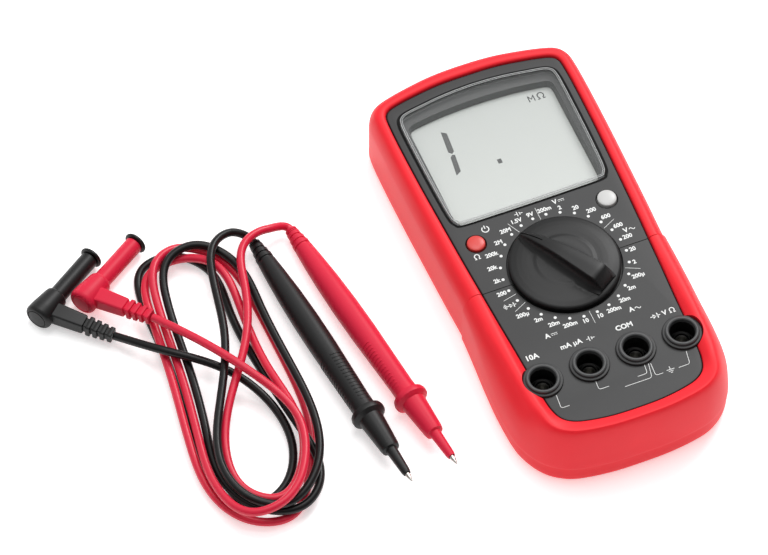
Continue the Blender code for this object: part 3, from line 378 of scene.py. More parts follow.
def make_materials():
    """Every shared material, by a short name."""
    return {
        "red_rubber": moulded("red_rubber", RED_RUBBER, 0.46, 0.5, 0.010, 0.04,
                              Specular_IOR_Level=0.27),
        "panel": moulded("panel_grey", PANEL_GREY, 0.50, 0.30, 0.022, 0.05),
        "case": moulded("case_grey", PANEL_GREY, 0.56, 0.45, 0.030, 0.06),
        "knob": moulded("knob_black", KNOB_BLACK, 0.42, 0.25, 0.006, 0.06,
                        Specular_IOR_Level=0.33),
        "jack": moulded("jack_grey", (0.052, 0.053, 0.054), 0.42, 0.30, 0.006, 0.05),
        "print": moulded("white_print", PRINT_WHITE, 0.55, 0.12, 0.002, 0.03),
        "button_red": moulded("button_red", (0.66, 0.048, 0.040), 0.34, 0.25, 0.004, 0.03),
        "button_white": moulded("button_white", (0.56, 0.56, 0.55), 0.34, 0.25, 0.004, 0.02),
        "mask": moulded("display_mask", (0.040, 0.041, 0.042), 0.42, 0.30, 0.006, 0.05),
        "bezel": moulded("window_bezel", (0.42, 0.43, 0.43), 0.12, 0.6, 0.001, 0.03, Alpha=0.26),
        # The light grey edge lines are painted highlights along the window's bevel.
        "edge": moulded("window_edge_highlight", (0.55, 0.56, 0.56), 0.12, 0.6, 0.001, 0.03),
        # Near-black lining of the jack sockets: painted shade for the deep holes.
        "bore": moulded("jack_bore_painted_shade", (0.004, 0.004, 0.004), 0.40, 0.30, 0.004, 0.05),
        "segment": moulded("display_segment", (0.055, 0.057, 0.058), 0.5, 0.2, 0.001, 0.05),
        "lead_red": moulded("lead_red_plastic", LEAD_RED, 0.45, 0.35, 0.008, 0.04,
                            Specular_IOR_Level=0.26),
        "lead_black": moulded("lead_black_plastic", LEAD_BLACK, 0.45, 0.35, 0.008, 0.08,
                              Specular_IOR_Level=0.35),
        "cord_red": moulded("cord_red_jacket", LEAD_RED, 0.34, 0.6, 0.001, 0.05,
                            Specular_IOR_Level=0.4),
        "cord_black": moulded("cord_black_jacket", LEAD_BLACK, 0.34, 0.6, 0.001, 0.10,
                              Specular_IOR_Level=0.27),
        # Near-black painted shade for the gaps round the window and round the panel.
        "gap_shade": moulded("black_gap_shade", (0.002, 0.002, 0.002), 0.7, 0.4, 0.004, 0.1,
                          Specular_IOR_Level=0.2),
        "nickel": metal("nickel_plate", (0.46, 0.45, 0.42), 0.24),
        # Darker copy of the nickel plate: painted shade for the contacts deep in the jacks.
        "contact": metal("contact_plate_shaded", (0.26, 0.255, 0.24), 0.30),
        "brass": metal("brass", (0.74, 0.56, 0.30), 0.28),
        "steel": metal("zinc_steel", (0.55, 0.55, 0.53), 0.35),
        "board": moulded("solder_mask", (0.020, 0.115, 0.050), 0.30, 0.8, 0.010, 0.12),
        "chip": moulded("chip_black", (0.018, 0.018, 0.019), 0.45, 0.2, 0.006, 0.05),
        "battery": moulded("battery_can", (0.035, 0.036, 0.045), 0.30, 1.2, 0.004, 0.08),
        "ivory": moulded("ivory_plastic", (0.58, 0.57, 0.52), 0.45, 0.4, 0.008, 0.05),
        "fuse": moulded("fuse_glass", (0.62, 0.64, 0.62), 0.15, 2.0, 0.002, 0.05, IOR=1.5),
        "lcd": display_material(),
        "pane": clear_material("clear_pane", 0.03),
        "floor": moulded("studio_floor", (0.94, 0.94, 0.94), 0.9, 8.0, 0.0, 0.004,
                         Emission_Color=(1.0, 1.0, 1.0, 1.0), Emission_Strength=0.45),
    }


def display_material():
    """Grey-green reflective display with painted shade: darker towards the display end, lighter towards
    the jacks.
    """
    material = moulded("display_glass", (0.66, 0.685, 0.655), 0.22, 1.0, 0.0015, 0.012)
    nodes = material.node_tree.nodes
    links = material.node_tree.links
    surface = nodes["Principled BSDF"]
    where = nodes.new("ShaderNodeTexCoord")
    axes = nodes.new("ShaderNodeSeparateXYZ")
    links.new(where.outputs["Object"], axes.inputs["Vector"])
    painted_shade_ramp = add(nodes, "ShaderNodeMapRange", From_Min=72 * MM, From_Max=19 * MM)
    links.new(axes.outputs["Y"], painted_shade_ramp.inputs["Value"])
    # Painted shade: the display darkens towards the display end.
    fade = blend(nodes, (0.56, 0.585, 0.565), (0.65, 0.675, 0.650))
    links.new(painted_shade_ramp.outputs["Result"], fade.inputs["Factor"])
    links.new(fade.outputs["Result"], surface.inputs["Base Color"])
    return material


def clear_material(name, roughness):
    """Clear acrylic with faint haze: seen through, with gloss from its front."""
    return moulded(name, (0.55, 0.57, 0.56), roughness + 0.05, 1.5, 0.0005, 0.01, Alpha=0.05, IOR=1.5)


# ---- camera, floor and light ----
CAMERA_TARGET = (-57.8, 26.2, 0.0)
CAMERA_DISTANCE = 2240.4
CAMERA_AZIMUTH = -22.448
CAMERA_ELEVATION = 55.386
CAMERA_ROLL = 0.165
CAMERA_LENS = 272.67
FLOOR_HALF = 3000.0


def make_camera():
    a = math.radians(CAMERA_AZIMUTH)
    e = math.radians(CAMERA_ELEVATION)
    back = Vector((math.sin(a) * math.cos(e), -math.cos(a) * math.cos(e), math.sin(e)))
    right = Vector((math.cos(a), math.sin(a), 0.0))
    turn = Matrix((right, back.cross(right), back)).transposed()
    data = bpy.data.cameras.new("camera")
    data.sensor_width = 36.0
    data.lens = CAMERA_LENS
    data.clip_start = 0.1
    data.clip_end = 20.0
    camera = bpy.data.objects.new("camera", data)
    bpy.context.scene.collection.objects.link(camera)
    roll = Matrix.Rotation(math.radians(CAMERA_ROLL), 3, "Z")
    spot = (Vector(CAMERA_TARGET) + CAMERA_DISTANCE * back) * MM
    camera.matrix_world = Matrix.Translation(spot) @ (turn @ roll).to_4x4()
    bpy.context.scene.camera = camera


def make_floor(mats):
    """Studio floor, a hair below the meter's back."""
    bm = bmesh.new()
    box(bm, (-FLOOR_HALF, FLOOR_HALF), (-FLOOR_HALF, FLOOR_HALF), (-10.0, -0.05))
    floor = to_object("studio_floor", bm, [mats["floor"]])


# Disk lights in metres and watts: name, place, diameter, power.
LIGHTS = (
    ("key_light", (0.95, 0.80, 1.25), 0.6, 13.6),
    ("top_light", (0.05, 0.35, 1.80), 1.0, 9.4),
)
LIGHT_AIM = (-0.05, 0.0, 0.0)


def make_light(name, spot, size, energy):
    data = bpy.data.lights.new(name, "AREA")
    data.shape = "DISK"
    data.size = size
    data.energy = energy
    light = bpy.data.objects.new(name, data)
    bpy.context.scene.collection.objects.link(light)
    light.location = spot
    aim = Vector(LIGHT_AIM) - Vector(spot)
    light.rotation_euler = aim.to_track_quat("-Z", "Y").to_euler()


# Direction of the brightest part of the studio's ceiling, which darkens towards the front.
SKY_TOP = (0.0, 0.40, 0.90)


def make_light_rig():
    """Pale sky that is brightest behind and above, with a white band at the horizon, and two lights."""
    scene = bpy.context.scene
    world = bpy.data.worlds.new("studio")
    scene.world = world
    world.use_nodes = True
    nodes = world.node_tree.nodes
    links = world.node_tree.links
    backdrop = nodes["Background"]
    backdrop.inputs["Color"].default_value = (1.0, 1.0, 1.0, 1)
    where = nodes.new("ShaderNodeTexCoord")
    towards = nodes.new("ShaderNodeVectorMath")
    towards.operation = "DOT_PRODUCT"
    towards.inputs[1].default_value = SKY_TOP
    links.new(where.outputs["Generated"], towards.inputs[0])
    sky = add(nodes, "ShaderNodeMapRange", From_Min=0.10, From_Max=0.95, To_Min=0.08, To_Max=1.0)
    links.new(towards.outputs["Value"], sky.inputs["Value"])
    axes = nodes.new("ShaderNodeSeparateXYZ")
    links.new(where.outputs["Generated"], axes.inputs["Vector"])
    horizon = add(nodes, "ShaderNodeMapRange", From_Min=0.09, From_Max=0.05, To_Max=1.0)
    links.new(axes.outputs["Z"], horizon.inputs["Value"])
    brighter = nodes.new("ShaderNodeMath")
    brighter.operation = "MAXIMUM"
    links.new(sky.outputs["Result"], brighter.inputs[0])
    links.new(horizon.outputs["Result"], brighter.inputs[1])
    links.new(brighter.outputs["Value"], backdrop.inputs["Strength"])
    scene.view_settings.view_transform = "Standard"
    for light in LIGHTS:
        make_light(*light)


# ---- test leads ----
# Cord routes, from the strain relief of the plug to the boot of the probe. These points weren't
# chosen by hand: a separate fit moved them until the strands lay clear of one another.
BLACK_ROUTE = [
    (-164.5, 36.7, 5.2), (-150.2, 20.4, 9.6), (-129.7, 3.3, 6.8), (-119.4, -18.2, 3.5),
    (-121.6, -39.3, 3.4), (-133.4, -51.8, 2.5), (-146.5, -51.3, 1.9), (-153.3, -38, 1.8),
    (-152.6, -8, 1.7), (-149.3, 24.2, 1.7), (-148.6, 48.3, 1.7), (-143.2, 63.7, 1.7),
    (-131.7, 65.6, 1.7), (-119.8, 54.8, 1.7), (-119.1, 33.3, 2.6), (-118.4, 3.9, 4),
    (-114.5, -29.2, 5.2), (-116.3, -53.4, 5.6), (-126.1, -61.7, 5.7), (-140.5, -57.7, 5.6),
    (-150, -42, 5.7), (-147.9, -16.3, 5.6), (-143.4, 14.5, 5.5), (-140.4, 44, 6.6), (-133.7, 59.9, 8.2),
    (-121.4, 62.9, 7.8), (-110.8, 52.6, 6.5), (-108.5, 28.1, 7.5), (-107.8, -4.3, 8),
    (-109.2, -33.2, 8.8), (-118.7, -53, 9.3), (-132.7, -60.5, 9.2), (-144.7, -53.7, 10.6),
    (-149.2, -36, 11), (-140.1, -11.2, 11.1), (-126.8, 17.8, 10.8), (-121, 45.3, 10.9),
    (-114.4, 59.2, 10.8), (-104.3, 62.4, 7.4), (-99.2, 57.1, 4.4),
]
RED_ROUTE = [
    (-149.2, 35.3, 11.1), (-138.5, 19, 13.8), (-122.9, -7.2, 14.4), (-115.3, -26.8, 13.1),
    (-120.7, -48.7, 13.3), (-133.5, -61.3, 13.1), (-146.4, -60.5, 11), (-153.8, -45.7, 8.6),
    (-152.3, -20.9, 6.9), (-147.5, 11.3, 5.7), (-144.5, 42.8, 7.1), (-138.9, 60, 8.3),
    (-127.9, 65.8, 5.2), (-114.5, 56.9, 3.1), (-109.3, 34.5, 3.1), (-108.1, 4, 2.3),
    (-109.8, -26.1, 1.7), (-119.4, -49.3, 1.7), (-131.7, -62.2, 1.9), (-145.2, -59.6, 2.8),
    (-155.3, -45, 3.7), (-156, -21.9, 5), (-151.5, 10.2, 5.3), (-148.1, 42, 5.3), (-141.9, 58.8, 4.4),
    (-128.5, 61.1, 4.4), (-117.7, 51.5, 7.8), (-115.5, 31.2, 6.5), (-116.3, -0.4, 7.6),
    (-114.6, -28.3, 8.9), (-122.3, -48.5, 8.7), (-133.5, -56.4, 8.1), (-143.2, -50.5, 8.2),
    (-145.9, -34.5, 8.2), (-136.9, -12.1, 9.2), (-120.3, 12.6, 10.4), (-111, 37.2, 10.3),
    (-104, 54.8, 10.3), (-93.5, 58.8, 8.6), (-83.9, 57.5, 4.4),
]

LEADS = {
    "black": {
        "elbow": (-184.9, 57.8, 5.9), "tip": (-160.7, 73.9, 4.9), "relief": (-164.9, 37.1, 5.2),
        "probe": ((-99.1, 56.6, 4.4), (-85.4, -68.4, 8.2)),
        "route": BLACK_ROUTE,
    },
    "red": {
        "elbow": (-166.9, 57.6, 6.4), "tip": (-142.5, 73.8, 4.9), "relief": (-149.6, 35.8, 11.0),
        "probe": ((-83.8, 57.0, 4.4), (-67.0, -67.1, 8.2)),
        "route": RED_ROUTE,
    },
}
CORD_SAMPLES = 480
# Middle of each rib row, round the probe from its right side over the top.
GRIP_SIDES_DEG = {"black": (72, 184), "red": (142, 322)}


def smooth_route(points, count):
    """Natural cubic curve through the points by chord length, sampled at count places."""
    pts = np.array(points, float)
    n = len(pts)
    step = np.linalg.norm(np.diff(pts, axis=0), axis=1)
    slope = np.diff(pts, axis=0) / step[:, None]
    system = np.eye(n)
    right = np.zeros_like(pts)
    for i in range(1, n - 1):
        system[i, i - 1:i + 2] = (step[i - 1], 2 * (step[i - 1] + step[i]), step[i])
        right[i] = 6 * (slope[i] - slope[i - 1])
    second = np.linalg.solve(system, right)
    u = np.linspace(0, n - 1, count)
    k = np.minimum(u.astype(int), n - 2)
    b = (u - k)[:, None]
    a = 1 - b
    bend = ((a ** 3 - a) * second[k] + (b ** 3 - b) * second[k + 1]) * step[k][:, None] ** 2 / 6
    return a * pts[k] + b * pts[k + 1] + bend


BOOT_TURN = 13  # samples at the end of the cord that bend into the boot
NECK_BACK = 0.6
BOOT_DEPTH = 1.25


def into_boot(route, rear, tip):
    """Bend the end of the cord so that it runs straight into the probe's boot."""
    rear = np.array(rear, float)
    axis = np.array(tip, float) - rear
    axis /= np.linalg.norm(axis)
    start = route[-BOOT_TURN]
    leaving = start - route[-BOOT_TURN - 1]
    leaving /= np.linalg.norm(leaving)
    end = rear - NECK_BACK * axis
    reach = 1.15 * np.linalg.norm(end - start)
    t = np.linspace(0, 1, 20)[1:, None]
    turn = ((2 * t ** 3 - 3 * t ** 2 + 1) * start + (t ** 3 - 2 * t ** 2 + t) * reach * leaving
            + (3 * t ** 2 - 2 * t ** 3) * end + (t ** 3 - t ** 2) * reach * axis)
    return np.vstack([route[:1 - BOOT_TURN], turn, rear + BOOT_DEPTH * axis])


def make_neck(colour, mats):
    """Short ribbed collar round the cord where it enters the probe's boot."""
    rear, tip = LEADS[colour]["probe"]
    bore = CORD_R + 0.05
    profile = [(bore, -NECK_BACK), (2.25, -NECK_BACK), (2.4, -0.45), (2.4, 0.35), (2.1, 0.45),
               (2.1, 0.8), (2.6, 0.9), (2.6, BOOT_DEPTH), (bore, BOOT_DEPTH)]
    bm = bmesh.new()
    revolve(bm, profile, 48, along(rear, tip), closed=True)
    neck = to_object(f"lead_neck_{colour}", bm, [mats[f"lead_{colour}"]], 40)
    place(neck, "test_leads", slot=f"probe_handle_{colour}")


def make_cord(colour, mats):
    """Round jacket as a bevelled curve along the route; returns it with its route in metres."""
    route = smooth_route(LEADS[colour]["route"], CORD_SAMPLES)
    route = into_boot(route, *LEADS[colour]["probe"]) * MM
    name = f"lead_cord_{colour}"
    curve = bpy.data.curves.new(name, "CURVE")
    curve.dimensions = "3D"
    curve.bevel_depth = CORD_R * MM
    curve.bevel_resolution = 6
    curve.use_fill_caps = True
    spline = curve.splines.new("POLY")
    spline.points.add(len(route) - 1)
    spline.points.foreach_set("co", np.column_stack([route, np.ones(len(route))]).ravel())
    spline.use_smooth = True
    curve.materials.append(mats[f"cord_{colour}"])
    cord = bpy.data.objects.new(name, curve)
    bpy.context.scene.collection.objects.link(cord)
    place(cord, "test_leads", f"cord_{colour}")
    return cord, route


def plug_profile(length):
    """Barrel, shoulder and shroud of the plug, closed at both ends."""
    lower = [(0, -5.75), (3.7, -5.65), (3.8, -5.3), (4.05, -5.3), (4.15, -5.6), (4.6, -5.5),
             (5.2, -5.1), (5.6, -4.2), (5.5, -1.0), (4.7, 6.4), (4.45, 7.4), (4.0, 7.9)]
    upper = [(SHROUD_R, 7.95), (SHROUD_R, length), (2.5, length), (2.5, length - 2.0),
             (0, length - 2.0)]
    return fillet(lower + upper, 0.3, 3)


def arm_rings(length, place_at):
    """Cable arm with a rounded square section that ends in ribs of strain relief."""
    stations = [(0.0, 3.5), (6.0, 3.35), (16.2, 3.0), (16.7, 2.85), (16.9, 2.5)]
    step = (length - 17.0) / 4
    for k in range(4):
        y = 17.0 + k * step
        rib = 3.05 - 0.2 * k
        core = 2.15 - 0.08 * k
        stations += [(y, core), (y + 0.36 * step, core), (y + 0.38 * step, rib - 0.15),
                     (y + 0.44 * step, rib), (y + 0.92 * step, rib), (y + 0.98 * step, rib - 0.15)]
    rings = []
    for z, r in stations:
        ring = []
        for k in range(64):
            a = 2 * math.pi * (k + 0.5) / 64
            c = math.cos(a)
            d = math.sin(a)
            reach = r / (abs(c) ** 9 + abs(d) ** 9) ** (1 / 9)
            ring.append(tuple(place_at @ Vector((reach * c, 0.92 * reach * d, z))))
        rings.append(ring)
    return rings


def make_plug(colour, mats):
    """Right-angle shrouded plug, and the cap that closes the shroud."""
    lead = LEADS[colour]
    shroud_axis = along(lead["elbow"], lead["tip"])
    length = (Vector(lead["tip"]) - Vector(lead["elbow"])).length
    arm_length = (Vector(lead["relief"]) - Vector(lead["elbow"])).length
    bm = bmesh.new()
    revolve(bm, plug_profile(length), 72, shroud_axis)
    body = to_object(f"lead_plug_{colour}", bm, [mats[f"lead_{colour}"]], 40)
    bm = bmesh.new()
    loft(bm, arm_rings(arm_length, along(lead["elbow"], lead["relief"])))
    apply_boolean(body, bm, "UNION")
    reshade(body, 40)
    place(body, "test_leads", f"plug_body_{colour}")

    bm = bmesh.new()
    z = length + 0.3
    stem = [(0, length - 1.6), (2.2, length - 1.6), (2.2, z - 0.05), (4.0, z - 0.05), (4.6, z + 0.3),
            (4.6, z + 0.95), (4.2, z + 1.4), (3.4, z + 1.4), (3.0, z + 0.8), (0, z + 0.8)]
    revolve(bm, fillet(stem, 0.25, 3), 72, shroud_axis)
    cap = to_object(f"lead_cap_{colour}", bm, [mats["lead_black"]], 40)
    place(cap, f"cap_{colour}", f"plug_cap_{colour}")
    return body, cap


def make_grip_ribs(colour, mats):
    """Fine ribs round two sides of the probe handle, behind the flange."""
    rear, tip = LEADS[colour]["probe"]
    axis = along(rear, tip)
    bm = bmesh.new()
    for middle in GRIP_SIDES_DEG[colour]:
        for k in range(15):
            z = 63.2 + 1.65 * k
            base = 5.05 - 0.0215 * (z - 63.0)
            half = 31 - 0.25 * k
            rings = []
            for a in np.radians(np.linspace(middle - half, middle + half, 13)):
                fade = 0.16 * min(1.0, 6 * (1 - abs(math.degrees(a) - middle) / half))
                across = Vector((math.cos(a), math.sin(a), 0))
                ring = []
                for dz, lift in ((-0.42, -0.3), (-0.25, fade), (0.25, fade), (0.42, -0.3)):
                    ring.append(tuple(axis @ (across * (base + lift) + Vector((0, 0, z + dz)))))
                rings.append(ring)
            loft(bm, rings)
    ribs = to_object(f"lead_grip_ribs_{colour}", bm, [mats[f"lead_{colour}"]], 50)
    place(ribs, "test_leads", slot=f"probe_handle_{colour}")


def make_leads(mats):
    for colour in LEADS:
        cord, route = make_cord(colour, mats)
        pieces = list(make_plug(colour, mats))
        for kind in ("plug_pin", "probe_handle", "probe_needle"):
            pieces.append(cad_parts[f"{kind}_{colour}"])
        make_grip_ribs(colour, mats)
        make_neck(colour, mats)


# ---- bumper ----
def rim_rings(outer, edge):
    """Rings of the rim, blended from the display end to the jacks and the chin."""
    side = smoothstep(outer[:, 1], *SIDE_BLEND_Y)
    chin = smoothstep(outer[:, 1], *CHIN_BLEND_Y)
    fine = [catmull(section, 4) for section in (UPPER_RIM, SIDE_RIM, CHIN_RIM)]
    rings = []
    for top, flank, low in zip(*fine):
        section = top + (flank - top) * side[:, None]
        section = section + (low - section) * chin[:, None]
        share = section[:, :1]
        rings.append(np.column_stack([outer + (edge - outer) * share, section[:, 1]]))
    return rings


def bumper_solid(half, keep_above):
    outer = outline(half)
    edge = inset(outline(PANEL_HALF), -0.35)
    rings = rim_rings(outer, edge)
    inner = inset(outer, BUMPER_WALL)
    skirt = outer + SKIRT_SHARE * (edge - outer)
    rings += [at_height(inner, 0.8), at_height(inner, 19.0), at_height(skirt, 25.0),
              at_height(skirt, FLANGE_Z[1] + 0.3), at_height(edge, FLANGE_Z[1] + 0.3)]
    bm = bmesh.new()
    loft(bm, rings, closed=True)
    cut_at_seam(bm, keep_above)
    return bm


def make_bumper(mats):
    upper = to_object("bumper_display_end", bumper_solid(UPPER_HALF, True), [mats["red_rubber"]], 50)
    place(upper, "meter", "bumper_upper")
    lower = to_object("bumper_jack_end", bumper_solid(LOWER_HALF, False), [mats["red_rubber"]], 50)
    bm = bmesh.new()
    for x in (JACK_X[0], JACK_X[3]):
        drill(bm, x, JACK_Y, COLLAR_R + 0.25, 27.0, 96)
    apply_boolean(lower, bm)
    reshade(lower, 50)
    place(lower, "meter", "bumper_lower")


# ---- front panel ----
def panel_solid(keep_above):
    plate = outline(PANEL_HALF)
    flange = inset(plate, -2.2)
    bm = bmesh.new()
    rings = [at_height(flange, FLANGE_Z[0]), at_height(flange, FLANGE_Z[1]),
             at_height(plate, FLANGE_Z[1])]
    for depth, drop in ((0.0, 0.5), (0.04, 0.28), (0.16, 0.1), (0.34, 0.02), (0.5, 0.0)):
        rings.append(at_height(inset(plate, depth), PANEL_TOP - drop))
    loft(bm, rings)
    cut_at_seam(bm, keep_above)
    return bm


def hole(bm, x, y, r, floor=20.0, chamfer=0.25, steps=72):
    """Round cutter with a small chamfer at the panel's face."""
    revolve(bm, [(0, floor), (r, floor), (r, PANEL_TOP - chamfer), (r + chamfer, PANEL_TOP),
                 (r + chamfer, CUT_TOP), (0, CUT_TOP)], steps, shifted(x, y))


def make_gap_shade(mats):
    """Painted shade: dark bands set in the gaps round the window and round the panel, where shade falls.
    """
    lens = outline(WINDOW_HALF)
    plate = outline(PANEL_HALF)
    for name, ring, inner, outer, low, high, slot in (
            ("window_gap_shade", lens, 0.45, -0.4, 28.3, 29.7, "panel_upper"),
            ("panel_gap_shade", plate, -0.04, -0.31, 27.7, 29.3, "panel_lower")):
        bm = bmesh.new()
        band(bm, ring, inner, outer, low, high)
        gap_shade = to_object(name, bm, [mats["gap_shade"]], 30)
        if name == "panel_gap_shade":
            bm = bmesh.new()
            for x in (JACK_X[0], JACK_X[3]):
                drill(bm, x, JACK_Y, COLLAR_R + 0.1, 26.0, 72)
            apply_boolean(gap_shade, bm)
        place(gap_shade, "meter", slot=slot)


def make_panel(mats):
    upper = to_object("panel_display_end", panel_solid(True), [mats["panel"]], 30)
    lower = to_object("panel_jack_end", panel_solid(False), [mats["panel"]], 30)
    for half in (upper, lower):
        bm = bmesh.new()
        slab(bm, inset(outline(PANEL_HALF), 2.0), 22.0, PANEL_BACK)
        apply_boolean(half, bm)
        bm = bmesh.new()
        recess = [(0, 28.9), (DIAL_RECESS_R, 28.9), (DIAL_RECESS_R, PANEL_TOP - 0.3),
                  (DIAL_RECESS_R + 0.3, PANEL_TOP), (DIAL_RECESS_R + 0.3, 36), (0, 36)]
        revolve(bm, recess, 144, shifted(*KNOB))
        apply_boolean(half, bm)
        bm = bmesh.new()
        hole(bm, *KNOB, HUB_R + 0.4, floor=26.0)
        apply_boolean(half, bm)
    bm = bmesh.new()
    lens = inset(outline(WINDOW_HALF), -0.45)
    loft(bm, [at_height(lens, 20.0), at_height(lens, PANEL_TOP - 0.3),
              at_height(inset(lens, -0.3), PANEL_TOP), at_height(inset(lens, -0.3), CUT_TOP)])
    apply_boolean(upper, bm)
    bm = bmesh.new()
    for x, y, r in (POWER_BUTTON, LOW_Z_BUTTON):
        hole(bm, x, y, r + 0.4)
    apply_boolean(upper, bm)
    reshade(upper, 30)
    place(upper, "meter", "panel_upper")

    bm = bmesh.new()
    collar = fillet([(0, 28.5), (COLLAR_R, 28.5), (COLLAR_R, 31.0), (JACK_HOLE_R - 0.4, 31.0),
                     (0, 31.0)], 0.5, 4)
    for x in JACK_X:
        revolve(bm, collar, 96, shifted(x, JACK_Y))
    apply_boolean(lower, bm, "UNION")
    bm = bmesh.new()
    for x in JACK_X:
        drill(bm, x, JACK_Y, JACK_HOLE_R, 20.0, 96)
    apply_boolean(lower, bm)
    reshade(lower, 30)
    place(lower, "meter", "panel_lower")


# ---- printing ----
PRINT_Z = (PANEL_TOP + 0.005, PANEL_TOP + 0.035)
DIAL_LABELS = [
    "20M", "1.5V", "9V", "200m", "2", "20", "200", "600", "600", "200", "20", "2", "200µ", "2m",
    "20m", "200m", "10", "10", "200m", "20m", "2m", "200µ", "", "200", "2k", "20k", "200k", "2M",
]
BOLD = 0.085
DOT_R = 0.6
BRACKET_RADIUS = 1.1
DIVIDER_STEPS = (0.5, 2.5, 7.5, 11.5, 16.5, 21.5, 22.5)


def dial_point(step, radius):
    a = math.radians(POINTER_DEG - step * 360 / DIAL_STEPS)
    return KNOB[0] + radius * math.cos(a), KNOB[1] + radius * math.sin(a)


def lettering(bm, text, x, y, size, bold=BOLD):
    """Text centred on a point of the panel, as thin solids."""
    font = bpy.data.curves.new("text", "FONT")
    font.body = text
    font.size = size
    font.align_x = "CENTER"
    font.align_y = "CENTER"
    font.resolution_u = 3
    font.offset = bold
    font.extrude = (PRINT_Z[1] - PRINT_Z[0]) / 2
    holder = bpy.data.objects.new("text", font)
    bpy.context.scene.collection.objects.link(holder)
    graph = bpy.context.evaluated_depsgraph_get()
    mesh = bpy.data.meshes.new_from_object(holder.evaluated_get(graph))
    mesh.transform(Matrix.Translation((x, y, sum(PRINT_Z) / 2)))
    bm.from_mesh(mesh)
    bpy.data.meshes.remove(mesh)
    bpy.data.objects.remove(holder)
    bpy.data.curves.remove(font)


def stroke(bm, points, width):
    """Printed line of even width through the points."""
    pts = [np.array(p, float) for p in points]
    left = []
    right = []
    for i, p in enumerate(pts):
        before = pts[max(i - 1, 0)]
        after = pts[min(i + 1, len(pts) - 1)]
        along_line = (after - before) / np.linalg.norm(after - before)
        side = np.array([-along_line[1], along_line[0]]) * width / 2
        left.append(p + side)
        right.append(p - side)
    slab(bm, left + right[::-1], *PRINT_Z)


def arc(x, y, r, start_deg, end_deg, steps=16):
    angles = np.radians(np.linspace(start_deg, end_deg, steps + 1))
    return [(x + r * math.cos(a), y + r * math.sin(a)) for a in angles]


def dot(bm, x, y, r):
    slab(bm, arc(x, y, r, 0, 345, 23), *PRINT_Z)


def omega(bm, x, y, h):
    """Ohm sign of height h."""
    width = 0.15 * h
    stroke(bm, arc(x, y + 0.1 * h, 0.37 * h, -62, 242, 24), width)
    for side in (-1, 1):
        stroke(bm, [(x + side * 0.14 * h, y - 0.36 * h), (x + side * 0.46 * h, y - 0.36 * h)], width)


def mega(bm, x, y, h):
    """Capital M of height h from four bars."""
    half = 0.38 * h
    for side in (-1, 1):
        stroke(bm, [(x + side * half, y - h / 2), (x + side * half, y + h / 2)], 0.15 * h)
        stroke(bm, [(x + side * half, y + h / 2), (x, y - 0.12 * h)], 0.13 * h)


def direct_sign(bm, x, y, w):
    """Solid bar over three short ones, for direct current."""
    stroke(bm, [(x - w / 2, y + 0.35), (x + w / 2, y + 0.35)], 0.22)
    for k in (-1, 0, 1):
        middle = x + k * w / 2.9
        stroke(bm, [(middle - w / 9, y - 0.35), (middle + w / 9, y - 0.35)], 0.22)


def wave_sign(bm, x, y, w):
    """Sine wave, for alternating current."""
    xs = np.linspace(-0.5, 0.5, 15)
    stroke(bm, [(x + w * t, y + 0.45 * math.sin(-2 * math.pi * t)) for t in xs], 0.32)


def cell_sign(bm, x, y):
    """Battery cell: a long and a short plate between two leads."""
    for side, half in ((-1, 1.05), (1, 0.65)):
        stroke(bm, [(x + side * 0.5, y - half), (x + side * 0.5, y + half)], 0.34)
        stroke(bm, [(x + side * 0.5, y), (x + side * 1.7, y)], 0.28)


def diode_sign(bm, x, y, s):
    """Diode of scale s: arrow, bar and lead."""
    stroke(bm, [(x - 1.5 * s, y), (x + 1.5 * s, y)], 0.34)
    stroke(bm, [(x + 0.7 * s, y - 0.85 * s), (x + 0.7 * s, y + 0.85 * s)], 0.42)
    arrow = [(x - 0.7 * s, y - 0.75 * s), (x - 0.7 * s, y + 0.75 * s), (x + 0.5 * s, y)]
    slab(bm, arrow, *PRINT_Z)


def power_sign(bm, x, y):
    stroke(bm, arc(x, y, 1.35, 125, 415, 24), 0.42)
    stroke(bm, [(x, y + 0.2), (x, y + 1.75)], 0.42)


def bracket(bm, points):
    """Open line with rounded corners, under the jacks."""
    stroke(bm, fillet(points, BRACKET_RADIUS, 5), 0.2)


def print_dial(bm):
    for step, label in enumerate(DIAL_LABELS):
        x, y = dial_point(step, DOT_RING_R)
        dot(bm, x, y, DOT_R)
        if not label:
            continue
        a = math.radians(POINTER_DEG - step * 360 / DIAL_STEPS)
        width = 1.22 * len(label)
        reach = DOT_RING_R + 1.1 + abs(math.cos(a)) * width / 2 + abs(math.sin(a)) * 0.95
        lettering(bm, label, KNOB[0] + reach * math.cos(a), KNOB[1] + reach * math.sin(a), 2.5)
    for step in DIVIDER_STEPS:
        stroke(bm, [dial_point(step, DOT_RING_R - 1.6), dial_point(step, DOT_RING_R + 4.2)], 0.16)
    x, y = dial_point(22, DOT_RING_R + 3.6)
    diode_sign(bm, x + 0.6, y, 1.2)
    for k in range(3):
        stroke(bm, arc(x - 3.0, y, 0.5 + 0.5 * k, -50, 50, 8), 0.24)


